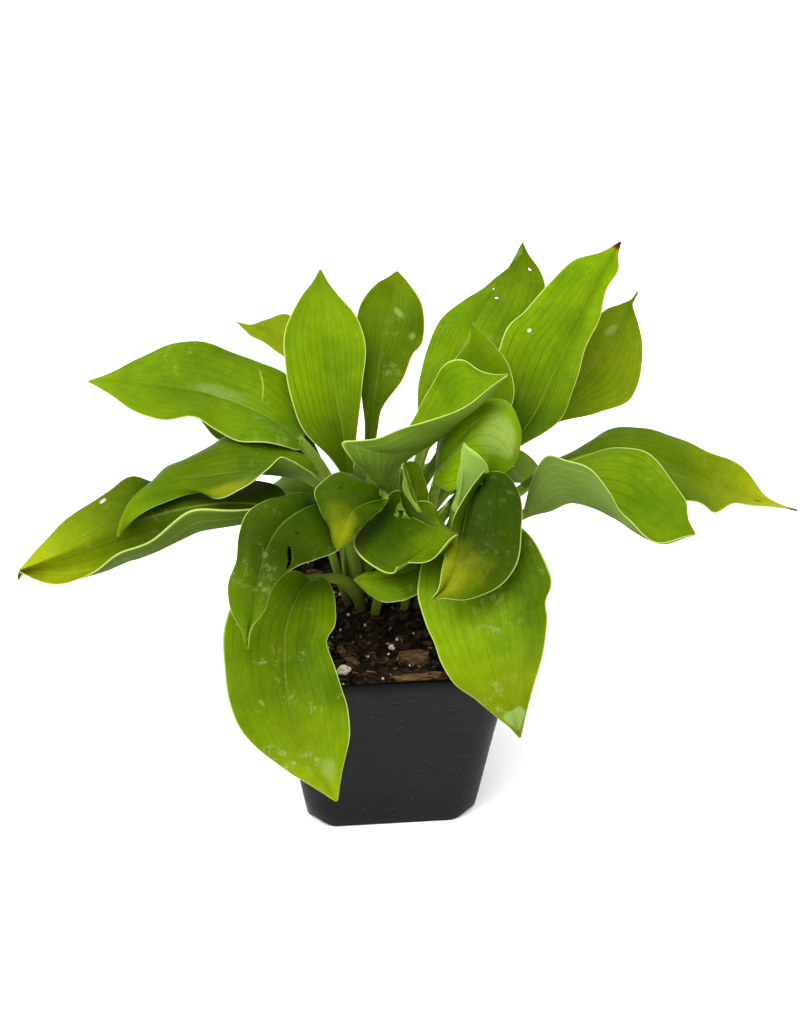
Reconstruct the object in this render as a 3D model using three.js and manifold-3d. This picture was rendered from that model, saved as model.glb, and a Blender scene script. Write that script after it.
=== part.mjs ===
// Potted hosta: a square nursery pot filled with soil, and a clump of broad pointed leaves.
// Millimetres, +Z up, the origin on the ground under the middle of the pot, the front face towards -Y.
import * as THREE from "three";
import { mergeVertices } from "three/addons/utils/BufferGeometryUtils.js";
import Module from "manifold-3d";

const wasm = await Module();
wasm.setup();

// ---------------------------------------------------------------- colours
const LEAF_GREEN = 0x7fa61f;
const POT_GREY = 0x2b2e31;
const SOIL_BROWN = 0x33241a;
const BARK_BROWN = 0x6b4630;
const PERLITE_WHITE = 0xd9d4c8;
const LEAF_ROUGHNESS = 0.5;
const POT_ROUGHNESS = 0.55;
const SOIL_ROUGHNESS = 0.95;
const CHIP_ROUGHNESS = 0.9;

// ---------------------------------------------------------------- shared sizes
const GAP = 0.35; // free space kept between pieces that rest on each other
const DEGREE = Math.PI / 180;
const WELD = 1e-4; // points nearer to each other than this are one point

// ---------------------------------------------------------------- pot
const POT_HEIGHT = 104;
const POT_TOP_HALF = 60; // half of the side of the square, at the rim
const POT_BASE_HALF = 43;
const POT_TOP_CORNER = 17; // corner radius
const POT_BASE_CORNER = 14;
const POT_WALL = 1.5;
const POT_FLOOR = 1.8;
const RIM_BAND = 8.5; // height of the thicker band below the lip
const RIM_STEP = 0.9; // how far the band stands out from the wall
const CORNER_STEPS = 5; // facets round each corner
const NOTCH_WIDTH = 12;
const NOTCH_DEPTH = 7;
const NOTCH_HEIGHT = 3;
const FOOT_ROUND = 0.8; // rounding of the bottom edge
const LIP_ROUND = 0.5;

// ---------------------------------------------------------------- soil
const SOIL_EDGE = 96; // height of the soil at the wall
const SOIL_CROWN = 11; // how far it is mounded above that round the stalks
const MOUND_REACH = 48;
const SOIL_RINGS = 6;
const SOIL_BUMP = 0.7; // height of the unevenness of the soil
const BUMP_ALONG = [0.31, 0.27]; // waves of the unevenness, in radians for each millimetre of x and y
const BUMP_SLANT = [0.13, 0.47];
const BUMP_SLANT_SHARE = 0.6;
const CROWN = [-1, 20]; // middle of the ring of leaf stalks
const SOCKET_CLEARANCE = 2.05; // how much wider than its stalk the hole in the soil is, to each side
const SOCKET_SHIFT = 0.7; // the stalk lies a little off the middle of its hole
const SOCKET_LENGTH = 34;
const SOCKET_SIDES = 6;

// ---------------------------------------------------------------- bark chips and perlite lumps on the soil
const CHIP_UNEVEN = 0.3;
const CHIP_TAPER = 0.35; // how much narrower a piece of bark is at its ends
const CHIP_FACETS = [4, 2, 1];
const CHIP_SEED_STEP = 31;
const NOISE_STRETCH = 12.9898; // the usual pair of numbers of a sine hash
const NOISE_SCALE = 43758.5453;
const CHIP_RISE = 0.12; // part of its height by which the middle of a chip is above the soil
const CHIPS = [
  { name: "bark_bent_strip", at: [-21, -27], size: [17, 4, 3], turn: -58, tilt: 4, bend: 0.5, seed: 1 },
  { name: "bark_chunk", at: [11, -32], size: [15, 9, 6], turn: -12, tilt: -5, bend: 0, seed: 2 },
  { name: "bark_front_slab", at: [13, -46], size: [29, 6, 4.5], turn: 2, tilt: 2, bend: 0.2, seed: 3 },
  { name: "bark_left_chip", at: [-27, 2], size: [9, 6, 3], turn: 70, tilt: 0, bend: 0, seed: 4 },
  { name: "bark_right_chip", at: [35, -22], size: [12, 6, 3.5], turn: 50, tilt: 5, bend: 0.2, seed: 5 },
  { name: "bark_back_left", at: [-32, 38], size: [13, 7, 4], turn: -30, tilt: -4, bend: 0.2, seed: 6 },
  { name: "bark_back_right", at: [31, 32], size: [16, 6, 4], turn: 20, tilt: 3, bend: 0, seed: 7 },
  { name: "perlite_big", at: [-24, -38], size: [7.5, 5.5, 4.5], turn: 20, tilt: 0, lump: true, seed: 8 },
  { name: "perlite_middle", at: [1, -22], size: [3.6, 3.2, 3], turn: 0, tilt: 0, lump: true, seed: 9 },
  { name: "perlite_right", at: [24, -20], size: [3.4, 3, 2.8], turn: 40, tilt: 0, lump: true, seed: 10 },
  { name: "perlite_left", at: [-35, -12], size: [4, 3.4, 3], turn: 10, tilt: 0, lump: true, seed: 11 },
  { name: "perlite_back", at: [7, 42], size: [5, 4, 3.4], turn: 70, tilt: 0, lump: true, seed: 12 },
];

// ---------------------------------------------------------------- leaves
const BLADE_THICK = 0.8;
const KEEL_THICK = 0.9; // extra depth of the midrib at the foot of the blade
const KEEL_REACH = 0.33; // part of the half width that it takes
const STALK_HALF = 2.5; // half the width of the stalk, unless its entry gives another
const STALK_FOOT = 0.82; // how much narrower the stalk is at its foot
const FOOT_REACH = 0.25; // part of the leaf in which it widens
const STALK_EDGE = 1.1; // thickness at the edges of its channelled section
const STALK_BODY = 1.9; // what the middle of the section has over the edge
const STALK_CHANNEL = 30; // degrees by which its sides are raised
const STALK_BLEND = 0.14; // part of the blade in which the stalk runs out
const TIP_HALF = 0.45;
const TIP_DRAWN_IN = 0.4; // how much narrower a plain blade is at its tip than by its powers
const TIP_POWER = 10;
const LOBE_POWER = 3; // how fast a lobe fades along the blade
const LEAST_CURL = 1e-4; // a curl of nothing would divide by nothing
const STALK_RINGS = 4;
const BLADE_RINGS = 12;
const WIDE_ACROSS = [0, 0.28, 0.64, 1];
const SMALL_ACROSS = [0, 0.5, 1];
const SMALL_BLADE = 40; // blades shorter than this have fewer facets
const STATION_SHIFT = 0.055; // how far the cross sections are drawn to the two ends of the blade
const CURVE_DIVISIONS = 200;

// One entry for each leaf. path runs from the foot of the stalk to the tip, and blade is the length of
// the blade at its end. stalk is half the width of a stalk that is thicker than most. wave is [height,
// cycles, phase left, phase right] of the margins, left and right as seen from the stalk. Most leaves
// have left and right as the points of their margins, and arch as how far the [left, right] half is
// pushed out of straight at the foot, middle and tip. The plainer leaves have half as the greatest half
// widths, shape as the powers that place the widest part, left and right as the angles by which the
// halves are raised at the foot, middle and tip, curl as how much further they turn out to the margin,
// and lobe as how far the foot reaches back.
const LEAVES = [
  {
    name: "leaf_left_upper",
    path: [[-15, 25, 87], [-18, 22, 119], [-25, 22, 167], [-40, 30, 188], [-57, 42, 196], [-80, 52, 202],
      [-105, 60, 204], [-126, 65, 204], [-142, 67, 204]],
    blade: 112, arch: [[2, 2, 0], [2, 3, 0]],
    left: [[-40, 23, 187], [-56, 18, 195], [-70, 22, 195], [-81, 29, 197], [-90, 33, 201], [-103, 33, 201],
      [-121, 43, 202], [-133, 57, 203]],
    right: [[-33, 45, 184], [-35, 55, 191], [-44, 64, 204], [-58, 69, 208], [-70, 77, 212], [-86, 81, 217],
      [-100, 81, 214], [-113, 77, 211], [-130, 71, 207]],
    wave: [1.4, 2.5, 0, 2],
  },
  {
    name: "leaf_left_rear",
    path: [[-12, 30, 87], [-18, 34, 129], [-29, 45, 160], [-43, 59, 168], [-60, 71, 171], [-80, 85, 171],
      [-93, 94, 171]],
    blade: 83, arch: [[0, 0, 0], [0, 0, 0]],
    left: [[-39, 45, 164], [-58, 51, 166], [-73, 58, 167], [-81, 67, 167], [-87, 80, 169]],
    right: [[-33, 55, 171], [-48, 70, 177], [-67, 86, 178], [-83, 95, 175]],
    wave: [1, 2, 0, 2],
  },
  {
    name: "leaf_left_middle",
    path: [[-16, 19, 87], [-18, 12, 119], [-20, 5, 159], [-32, 6, 178], [-48, 8, 183], [-67, 9, 185],
      [-87, 7, 185], [-102, 5, 185], [-116, -1, 182], [-126, -9, 174], [-130, -13, 166]],
    blade: 112, arch: [[0, 0, 0], [2, 3, 0]],
    left: [[-37, -1, 190], [-44, -5, 200], [-51, -8, 206], [-57, -10, 198], [-67, -12, 189],
      [-77, -12, 185], [-86, -8, 184], [-93, -4, 182], [-105, -3, 178], [-119, -8, 174]],
    right: [[-35, 17, 186], [-54, 29, 189], [-76, 34, 189], [-91, 32, 184], [-103, 23, 181],
      [-112, 11, 177], [-122, 0, 180], [-128, -7, 173]],
    wave: [2.2, 2.5, 1, 3],
  },
  {
    name: "leaf_left_lower",
    path: [[-14, 13, 87], [-21, 4, 119], [-31, -3, 155], [-46, -4, 169], [-70, -4, 176], [-94, -4, 175],
      [-119, -5, 169], [-146, -8, 159], [-165, -10, 152], [-178, -12, 148]],
    blade: 138, arch: [[-3, -12, -5], [0, 2, 0]],
    left: [[-57, -15, 181], [-73, -22, 185], [-92, -24, 186], [-103, -25, 180], [-114, -25, 172],
      [-128, -25, 167], [-140, -26, 155], [-154, -22, 146], [-167, -16, 144]],
    right: [[-51, 8, 175], [-70, 18, 174], [-94, 24, 171], [-113, 20, 172], [-123, 19, 178],
      [-134, 15, 174], [-149, 9, 168], [-164, 1, 156]],
    wave: [1.6, 2.5, 2, 0],
  },
  {
    name: "leaf_left_back",
    path: [[-5, 28, 87], [-11, 34, 129], [-25, 62, 187], [-35, 81, 201], [-46, 94, 206], [-57, 105, 207],
      [-67, 113, 207]],
    blade: 72, arch: [[0, 0, 0], [1, 1, 0]],
    left: [[-33, 69, 195], [-43, 81, 204], [-51, 90, 206], [-59, 99, 205], [-63, 107, 205]],
    right: [[-26, 78, 197], [-32, 93, 209], [-41, 102, 216], [-53, 106, 211], [-61, 111, 206]],
    wave: [1, 1.5, 0, 1],
  },
  {
    name: "leaf_upright_left",
    path: [[-10, 23, 87], [-11, 20, 129], [-16, 27, 167], [-18, 38, 186], [-21, 50, 204], [-23, 63, 221],
      [-24, 76, 236], [-25, 89, 249]],
    blade: 104, arch: [[0, 0, 0], [0, 0, 0]],
    left: [[-25, 27, 178], [-36, 31, 190], [-42, 41, 202], [-45, 54, 216], [-44, 67, 228], [-35, 78, 241],
      [-29, 85, 245]],
    right: [[-13, 31, 180], [-10, 40, 194], [-7, 50, 209], [-5, 60, 222], [-9, 70, 233], [-17, 79, 240],
      [-22, 85, 245]],
    wave: [0.8, 2, 0, 2],
  },
  {
    name: "leaf_upright_middle",
    path: [[0, 29, 87], [-1, 26, 129], [-5, 36, 176], [-2, 48, 194], [2, 63, 211], [7, 79, 225],
      [11, 91, 233], [14, 100, 240]],
    blade: 93, arch: [[0, 0, 0], [0, 0, 0]],
    left: [[-7, 43, 189], [-8, 57, 204], [-9, 71, 218], [-6, 83, 231], [3, 92, 238], [9, 98, 238]],
    right: [[-1, 40, 185], [2, 47, 193], [13, 57, 203], [19, 66, 212], [24, 70, 216], [25, 82, 230],
      [19, 93, 237]],
    wave: [1, 2, 1, 3],
  },
  {
    name: "leaf_right_tall",
    path: [[6, 26, 87], [8, 26, 129], [22, 40, 172], [34, 57, 194], [46, 75, 213], [60, 91, 228],
      [72, 103, 241], [78, 110, 248]],
    blade: 118, arch: [[0, 1, 0], [0, 1, 0]],
    left: [[20, 47, 185], [21, 59, 198], [27, 73, 211], [36, 84, 222], [48, 92, 228], [61, 98, 233],
      [76, 104, 241], [78, 108, 245]],
    right: [[38, 43, 184], [55, 54, 194], [71, 67, 206], [83, 81, 218], [88, 93, 229], [86, 101, 237],
      [81, 108, 243]],
    wave: [1.5, 2.5, 0, 2],
  },
  {
    name: "leaf_right_big",
    path: [[13, 26, 87], [19, 22, 125], [43, 22, 161], [59, 27, 175], [75, 38, 188], [88, 56, 202],
      [101, 76, 214], [115, 94, 230], [128, 110, 246]],
    blade: 130, arch: [[0, 1, 0], [1, 2, 0]],
    left: [[57, 33, 183], [54, 44, 194], [60, 61, 208], [67, 73, 221], [77, 81, 226], [90, 91, 235],
      [103, 100, 242], [118, 106, 243]],
    right: [[68, 25, 181], [82, 29, 187], [91, 36, 191], [99, 50, 203], [104, 61, 212], [113, 75, 223],
      [118, 87, 232], [125, 94, 238], [126, 103, 242]],
    wave: [1.5, 2.5, 2, 0],
  },
  {
    name: "leaf_right_far_back",
    path: [[9, 32, 87], [17, 33, 125], [47, 42, 161], [61, 47, 166], [85, 61, 177], [107, 77, 186],
      [124, 96, 198], [133, 107, 207], [139, 114, 214]],
    blade: 115, arch: [[0, 0, 0], [1, 2, 0]],
    left: [[73, 60, 174], [91, 77, 187], [110, 96, 202], [121, 105, 209], [130, 109, 210], [136, 112, 211]],
    right: [[77, 54, 168], [95, 58, 173], [115, 66, 173], [132, 74, 175], [139, 88, 189], [138, 102, 201],
      [136, 110, 210]],
    wave: [1.2, 2.5, 0, 1],
  },
  {
    name: "leaf_center_back",
    path: [[-1, 24, 87], [4, 19, 129], [21, 21, 167], [29, 25, 178], [39, 33, 196], [45, 40, 214],
      [46, 45, 228], [46, 50, 238]],
    blade: 68, arch: [[0, 1, 0], [0, 1, 0]],
    left: [[29, 30, 193], [30, 36, 207], [37, 43, 221], [45, 47, 231]],
    right: [[48, 26, 190], [63, 32, 197], [66, 37, 206], [63, 42, 220], [55, 47, 230], [49, 49, 235]],
    wave: [1, 2, 0, 1],
  },
  {
    name: "leaf_center_folded",
    path: [[-5, 20, 87], [-4, 11, 129], [-3, 1, 166], [-1, 0, 177], [5, 2, 188], [14, 3, 196],
      [26, 3, 204], [39, 2, 217], [49, -1, 230], [57, -6, 243]],
    blade: 90, arch: [[0, -2, 0], [-1, -4, 0]],
    left: [[4, 14, 183], [10, 24, 191], [18, 31, 203], [25, 32, 215], [33, 28, 230], [39, 23, 234],
      [46, 10, 235], [52, 2, 238]],
    right: [[-11, -4, 191], [-17, -6, 201], [-21, -6, 210], [-14, -7, 211], [-4, -8, 212], [10, -9, 218],
      [28, -10, 225], [40, -9, 231], [50, -7, 238]],
    wave: [1.2, 2, 0, 1],
  },
  {
    name: "leaf_center_arching",
    path: [[8, 20, 87], [11, 13, 119], [21, 3, 157], [24, 5, 172], [30, 6, 189], [39, 5, 204],
      [48, -1, 216], [56, -9, 219], [60, -16, 213], [59, -22, 202]],
    blade: 86, arch: [[0, 2, 0], [0, 3, 0]],
    left: [[26, 12, 183], [28, 16, 195], [37, 17, 208], [48, 14, 217], [57, 7, 220], [62, -3, 219],
      [64, -13, 213], [62, -20, 207]],
    right: [[23, 0, 180], [28, -5, 178], [37, -11, 184], [46, -17, 191], [54, -22, 198]],
    wave: [0.8, 2, 0, 2],
  },
  {
    name: "leaf_center_drooping",
    path: [[11, 11, 87], [21, -1, 119], [34, -15, 154], [41, -23, 185], [43, -29, 198], [37, -38, 195],
      [32, -49, 184], [28, -62, 177], [24, -67, 169], [16, -71, 162]],
    blade: 79, arch: [[1, 4, 0], [0, 1, 0]],
    left: [[48, -26, 201], [56, -27, 199], [61, -33, 195], [62, -42, 189], [59, -54, 181], [55, -64, 173],
      [46, -71, 167], [32, -75, 164], [21, -74, 165]],
    right: [[45, -32, 206], [37, -38, 202], [29, -47, 194], [26, -51, 187], [24, -56, 182], [22, -62, 177],
      [19, -71, 169]],
    wave: [1.2, 2, 0, 2],
  },
  {
    name: "leaf_center_pale",
    path: [[6, 14, 87], [13, 5, 121], [25, -8, 147], [32, -12, 164], [33, -15, 174], [35, -18, 190],
      [35, -21, 204], [35, -23, 217]],
    blade: 44, arch: [[0, 0, 0], [0, 0, 0]],
    left: [[39, -15, 176], [45, -20, 189], [47, -23, 201], [43, -25, 210], [37, -24, 215]],
    right: [[33, -15, 182], [33, -18, 195], [35, -21, 209]],
    wave: [0.6, 1.5, 0, 2],
  },
  {
    name: "leaf_front_small",
    path: [[-5, 12, 87], [-8, 9, 123], [-10, 4, 160], [-6, -1, 177], [-2, -14, 181], [-9, -19, 183],
      [-17, -27, 184], [-22, -33, 179], [-25, -37, 175], [-26, -39, 170]],
    blade: 41, arch: [[0, 1, 0], [2, 3, 0]],
    left: [[-2, -18, 180], [-7, -25, 179], [-15, -32, 177], [-19, -37, 174], [-23, -38, 171]],
    right: [[-5, -9, 185], [-13, -7, 189], [-21, -7, 193], [-29, -12, 193], [-35, -17, 190],
      [-34, -24, 185], [-30, -32, 179], [-28, -37, 174]],
    wave: [0.6, 2, 0, 2],
  },
  {
    name: "leaf_front_center",
    path: [[1, 11, 87], [2, 3, 124], [4, -7, 155], [6, -14, 172], [11, -22, 175], [17, -34, 179],
      [23, -50, 187], [28, -64, 194]],
    blade: 59, arch: [[0, 0, 0], [0, -2, 0]],
    left: [[9, -11, 172], [8, -6, 175], [7, -4, 182], [7, -4, 189], [8, -6, 196], [9, -9, 191],
      [8, -12, 185], [11, -17, 182], [19, -28, 187], [23, -39, 185], [26, -52, 189]],
    right: [[4, -11, 170], [5, -6, 172], [8, -4, 175], [7, -3, 178], [3, -2, 177], [-1, -3, 173],
      [-8, -7, 168], [-17, -23, 163], [-15, -35, 163], [-7, -45, 162], [-3, -48, 162], [0, -50, 165],
      [1, -51, 169], [4, -52, 171], [12, -56, 173], [17, -59, 177], [21, -61, 183], [24, -62, 188]],
    wave: [1.2, 2, 0, 2],
  },
  {
    name: "leaf_front_low",
    path: [[-5, 6, 87], [-4, -5, 114], [2, -18, 140], [16, -34, 155], [6, -37, 154], [-2, -38, 153],
      [-11, -38, 152], [-18, -38, 152]],
    blade: 35, arch: [[0, 2, 0], [0, 1, 0]],
    left: [[13, -45, 148], [5, -50, 147], [-3, -48, 145], [-10, -45, 146], [-15, -41, 148]],
    right: [[15, -26, 159], [7, -30, 159], [-2, -33, 157], [-10, -35, 154]],
    wave: [0.8, 2, 0, 2],
  },
  {
    name: "leaf_front_right",
    path: [[20, 4, 87], [23, -9, 116], [25, -21, 147], [36, -30, 163], [41, -47, 162], [43, -64, 152],
      [45, -80, 141], [49, -95, 126], [54, -109, 108]],
    blade: 102, arch: [[1, 2, 0], [1, 3, 0]],
    left: [[44, -28, 169], [55, -30, 175], [64, -37, 175], [70, -51, 170], [73, -62, 161], [70, -68, 156],
      [70, -76, 151], [66, -89, 140], [59, -102, 125]],
    right: [[28, -29, 167], [16, -36, 163], [12, -48, 155], [13, -64, 144], [18, -77, 136], [27, -89, 124],
      [42, -101, 116], [49, -107, 113]],
    wave: [1.6, 3, 0, 2],
  },
  {
    name: "leaf_front_left_low", stalk: 3.3,
    path: [[-11, 8, 87], [-13, 2, 108], [-19, -5, 124], [-27, -14, 136], [-37, -22, 141], [-44, -31, 140],
      [-51, -46, 133], [-53, -62, 124], [-52, -81, 112], [-46, -96, 95], [-32, -110, 76]],
    blade: 121, arch: [[2, 3, 0], [1, 3, 0]],
    left: [[-31, -23, 142], [-27, -38, 136], [-28, -49, 133], [-33, -57, 129], [-30, -69, 123],
      [-25, -80, 114], [-25, -93, 102], [-29, -104, 87]],
    right: [[-46, -21, 146], [-62, -31, 148], [-75, -43, 147], [-81, -56, 140], [-82, -70, 130],
      [-80, -84, 117], [-72, -94, 103], [-58, -102, 92], [-43, -108, 84]],
    wave: [1.6, 3, 0, 2],
  },
  {
    name: "leaf_front_left_high", stalk: 3.4,
    path: [[-10.5, 16.2, 87], [-14.3, 6.3, 119], [-20, -5, 157], [-32, -12, 178], [-42, -23, 183],
      [-53, -36, 183], [-60, -50, 179], [-65, -62, 169], [-68, -72, 158], [-71, -79, 145]],
    blade: 96, arch: [[1, 2, 0], [1, 3, 0]],
    left: [[-24, -14, 177], [-21, -23, 170], [-25, -35, 167], [-37, -43, 168], [-47, -52, 171],
      [-56, -62, 168], [-60, -68, 162], [-68, -76, 155]],
    right: [[-41, -11, 185], [-54, -19, 189], [-65, -31, 190], [-72, -42, 186], [-75, -54, 178],
      [-78, -64, 169], [-77, -71, 161], [-73, -77, 153]],
    wave: [1.4, 2.5, 0, 2],
  },
  {
    name: "leaf_right_far",
    path: [[15, 20, 87], [23, 15, 117], [43, 11, 142], [68, 17, 161], [89, 27, 169], [112, 34, 170],
      [138, 34, 164], [163, 28, 154], [185, 22, 147], [208, 15, 142]],
    blade: 151, arch: [[1, 2, 0], [0, 1, 0]],
    left: [[84, 33, 165], [97, 44, 164], [112, 52, 169], [133, 55, 168], [152, 51, 167], [168, 40, 161],
      [184, 34, 155], [193, 24, 147], [201, 19, 143]],
    right: [[89, 13, 167], [110, 3, 167], [132, 1, 163], [153, 3, 158], [162, 2, 151], [174, 9, 153],
      [192, 12, 147]],
    wave: [1.6, 3, 0, 2],
  },
  {
    name: "leaf_right_near",
    path: [[13, 15, 87], [21, 4, 117], [41, -7, 144], [67, -11, 167], [77, -17, 173], [87, -21, 180],
      [97, -26, 180], [107, -32, 177], [117, -38, 173], [131, -45, 173], [142, -52, 179]],
    blade: 92, arch: [[0, 1, 0], [-1, -3, 0]],
    left: [[76, 0, 175], [87, 9, 180], [106, 15, 184], [124, 10, 186], [133, 0, 185], [138, -11, 182],
      [142, -26, 180], [141, -42, 179]],
    right: [[70, -13, 187], [76, -16, 203], [84, -21, 203], [95, -28, 202], [103, -34, 194],
      [110, -39, 183], [118, -46, 175], [125, -50, 173], [136, -53, 179]],
    wave: [1.2, 2.5, 0, 2],
  },
  {
    name: "leaf_back_left",
    path: [[-7, 34, 87], [-15, 40, 113], [-29, 52, 131], [-45, 66, 133], [-59, 78, 123], [-69, 88, 107]],
    blade: 66, half: [18, 18], shape: [0.7, 0.9, 0.7, 0.9],
    left: [15, 10, 5], right: [15, 10, 5], curl: [0, 0], lobe: [3, 3],
    wave: [1, 2, 0, 2],
  },
  {
    name: "leaf_back_middle",
    path: [[-1, 35, 87], [-1, 42, 113], [3, 54, 133], [7, 76, 135], [11, 98, 121], [15, 116, 95]],
    blade: 84, half: [23, 23], shape: [0.7, 0.9, 0.7, 0.9],
    left: [15, 10, 5], right: [15, 10, 5], curl: [0, 0], lobe: [4, 4],
    wave: [1.4, 2.5, 1, 3],
  },
  {
    name: "leaf_back_right",
    path: [[4, 34, 87], [12, 39, 113], [29, 48, 137], [48, 62, 143], [68, 75, 137], [82, 85, 119],
      [94, 92, 98]],
    blade: 99, arch: [[0, 0, 0], [0, 0, 0]],
    left: [[40, 63, 143], [60, 77, 145], [79, 86, 137], [91, 93, 117]],
    right: [[36, 47, 139], [53, 56, 138], [70, 66, 132], [85, 81, 115]],
    wave: [1.2, 2, 2, 0],
  },
  {
    name: "leaf_young_left",
    path: [[2, 19, 87], [6, 10, 124], [13, 0, 156], [14, -1, 171], [14, 0, 182], [12, 2, 191]],
    blade: 36, arch: [[0, -1, 0], [0, -1, 0]],
    left: [[10, 2, 165], [8, 3, 175], [8, 4, 185], [9, 3, 189]],
    right: [[19, 0, 162], [21, 1, 170], [19, 2, 180], [16, 3, 189]],
    wave: [0, 1, 0, 0],
  },
  {
    name: "leaf_young_right",
    path: [[6, 7, 87], [11, -2, 119], [19, -12, 147], [25, -14, 161], [29, -13, 176]],
    blade: 30, half: [6, 6], shape: [0.8, 0.8, 0.8, 0.8],
    left: [55, 50, 40], right: [55, 50, 40], curl: [40, 40], lobe: [0, 0],
    wave: [0, 1, 0, 0],
  },
];

// ---------------------------------------------------------------- small helpers
function mix(from, to, part) {
  return from + (to - from) * part;
}

function smooth(part) {
  const held = Math.min(1, Math.max(0, part));
  return held * held * (3 - 2 * held);
}

// A curve through the value at the foot, in the middle and at the tip.
function threePoint(values, t) {
  const [foot, middle, tip] = values;
  return foot * (1 - t) * (1 - 2 * t) + 4 * middle * t * (1 - t) + tip * t * (2 * t - 1);
}

function toGeometry(positions, triangles) {
  const geometry = new THREE.BufferGeometry();
  geometry.setAttribute("position", new THREE.Float32BufferAttribute(positions, 3));
  geometry.setIndex(triangles);
  return geometry;
}

function toSolid(geometry) {
  const bare = geometry.clone();
  bare.deleteAttribute("normal");
  bare.deleteAttribute("uv");
  const merged = mergeVertices(bare, WELD);
  const vertProperties = new Float32Array(merged.attributes.position.array);
  const triVerts = new Uint32Array(merged.index.array);
  return new wasm.Manifold(new wasm.Mesh({ numProp: 3, vertProperties, triVerts }));
}

function fromSolid(solid) {
  const mesh = solid.getMesh();
  return toGeometry(Array.from(mesh.vertProperties), Array.from(mesh.triVerts));
}

// ---------------------------------------------------------------- leaf geometry
function leafCurve(leaf) {
  const points = leaf.path.map((point) => new THREE.Vector3(...point));
  const curve = new THREE.CatmullRomCurve3(points, false, "centripetal");
  curve.arcLengthDivisions = CURVE_DIVISIONS;
  return curve;
}

// Tangent, side and upward directions of the leaf at arc length part u.
function leafFrame(leaf, curve, length, u) {
  const start = curve.getPointAt(Math.max(0, 1 - leaf.blade / length));
  const reach = curve.getPointAt(1).sub(start);
  const level = new THREE.Vector3(reach.y, -reach.x, 0).normalize();
  const tangent = curve.getTangentAt(u).normalize();
  const side = level.clone().addScaledVector(tangent, -level.dot(tangent)).normalize();
  const normal = new THREE.Vector3().crossVectors(side, tangent).normalize();
  return { tangent, side, normal };
}

// 0 at the foot of the blade and all along the stalk, 1 at the tip.
function bladePart(leaf, length, u) {
  return Math.max(0, (u * length - (length - leaf.blade)) / leaf.blade);
}

function stalkHalf(leaf) {
  return leaf.stalk ?? STALK_HALF;
}

function halfWidth(leaf, side, t, u) {
  const stalk = stalkHalf(leaf) * (1 - t) * mix(STALK_FOOT, 1, smooth(u / FOOT_REACH));
  if (!leaf.half) {
    return stalk;
  }
  const [a, b] = side < 0 ? leaf.shape.slice(0, 2) : leaf.shape.slice(2);
  const peak = a / (a + b);
  const top = peak ** a * (1 - peak) ** b;
  const outline = (t ** a * (1 - t) ** b / top) * (1 - TIP_DRAWN_IN * t ** TIP_POWER);
  const half = side < 0 ? leaf.half[0] : leaf.half[1];
  return Math.max(TIP_HALF, stalk + (half - STALK_HALF / 2) * outline);
}

// Thickness of the leaf at q across (0 midrib, 1 margin) and t along the blade.
function leafThickness(t, q) {
  const stalk = STALK_EDGE + STALK_BODY * (1 - q * q);
  const blade = BLADE_THICK + KEEL_THICK * (1 - t) * Math.max(0, 1 - q / KEEL_REACH);
  return mix(stalk, blade, smooth(t / STALK_BLEND));
}

// Ripple of the margin at q across on one side.
function leafRipple(leaf, side, t, q) {
  const [height, cycles, phaseLeft, phaseRight] = leaf.wave;
  const phase = side < 0 ? phaseLeft : phaseRight;
  const fade = Math.sqrt(Math.max(0, Math.sin(Math.PI * t)));
  return height * q * q * Math.sin(2 * Math.PI * cycles * t + phase) * fade;
}

// Upper point and the direction through a leaf that is given by its widths and angles, at q across on one
// side (-1 left, +1 right). Stalks of all leaves are made here.
function plainPoint(leaf, curve, length, u, side, q) {
  const frame = leafFrame(leaf, curve, length, u);
  const t = bladePart(leaf, length, u);
  const half = halfWidth(leaf, side, t, u);
  const raised = leaf.half ? threePoint(side < 0 ? leaf.left : leaf.right, t) : STALK_CHANNEL;
  const blend = smooth(t / STALK_BLEND);
  const angle = mix(STALK_CHANNEL, raised, blend) * DEGREE;
  const curl = (leaf.half ? leaf.curl[side < 0 ? 0 : 1] : 0) * blend * DEGREE + LEAST_CURL;
  const across = (Math.sin(angle + curl * q) - Math.sin(angle)) / curl;
  const rise = (Math.cos(angle) - Math.cos(angle + curl * q)) / curl;
  const lobe = leaf.half ? leaf.lobe[side < 0 ? 0 : 1] : 0;
  const point = curve.getPointAt(u);
  point.addScaledVector(frame.side, side * half * across);
  point.addScaledVector(frame.normal, half * rise + leafRipple(leaf, side, t, q));
  point.addScaledVector(frame.tangent, -lobe * (1 - t) ** LOBE_POWER * q * q * blend);
  const turn = angle + curl * q;
  const through = frame.normal.clone();
  if (q > 0) {
    through.multiplyScalar(Math.cos(turn)).addScaledVector(frame.side, -side * Math.sin(turn));
  }
  return { point, through, thickness: leafThickness(t, q) };
}

// The two margins of a leaf, from the edges of its stalk to the tip.
function leafMargins(leaf, curve, length) {
  const foot = Math.max(0, 1 - leaf.blade / length);
  const tip = leafFrame(leaf, curve, length, 1);
  return [-1, 1].map((side) => {
    const start = plainPoint(leaf, curve, length, foot, side, 1).point;
    const end = curve.getPointAt(1).addScaledVector(tip.side, side * TIP_HALF);
    const points = (side < 0 ? leaf.left : leaf.right).map((point) => new THREE.Vector3(...point));
    const margin = new THREE.CatmullRomCurve3([start, ...points, end], false, "centripetal");
    margin.arcLengthDivisions = CURVE_DIVISIONS;
    return margin;
  });
}

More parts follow.
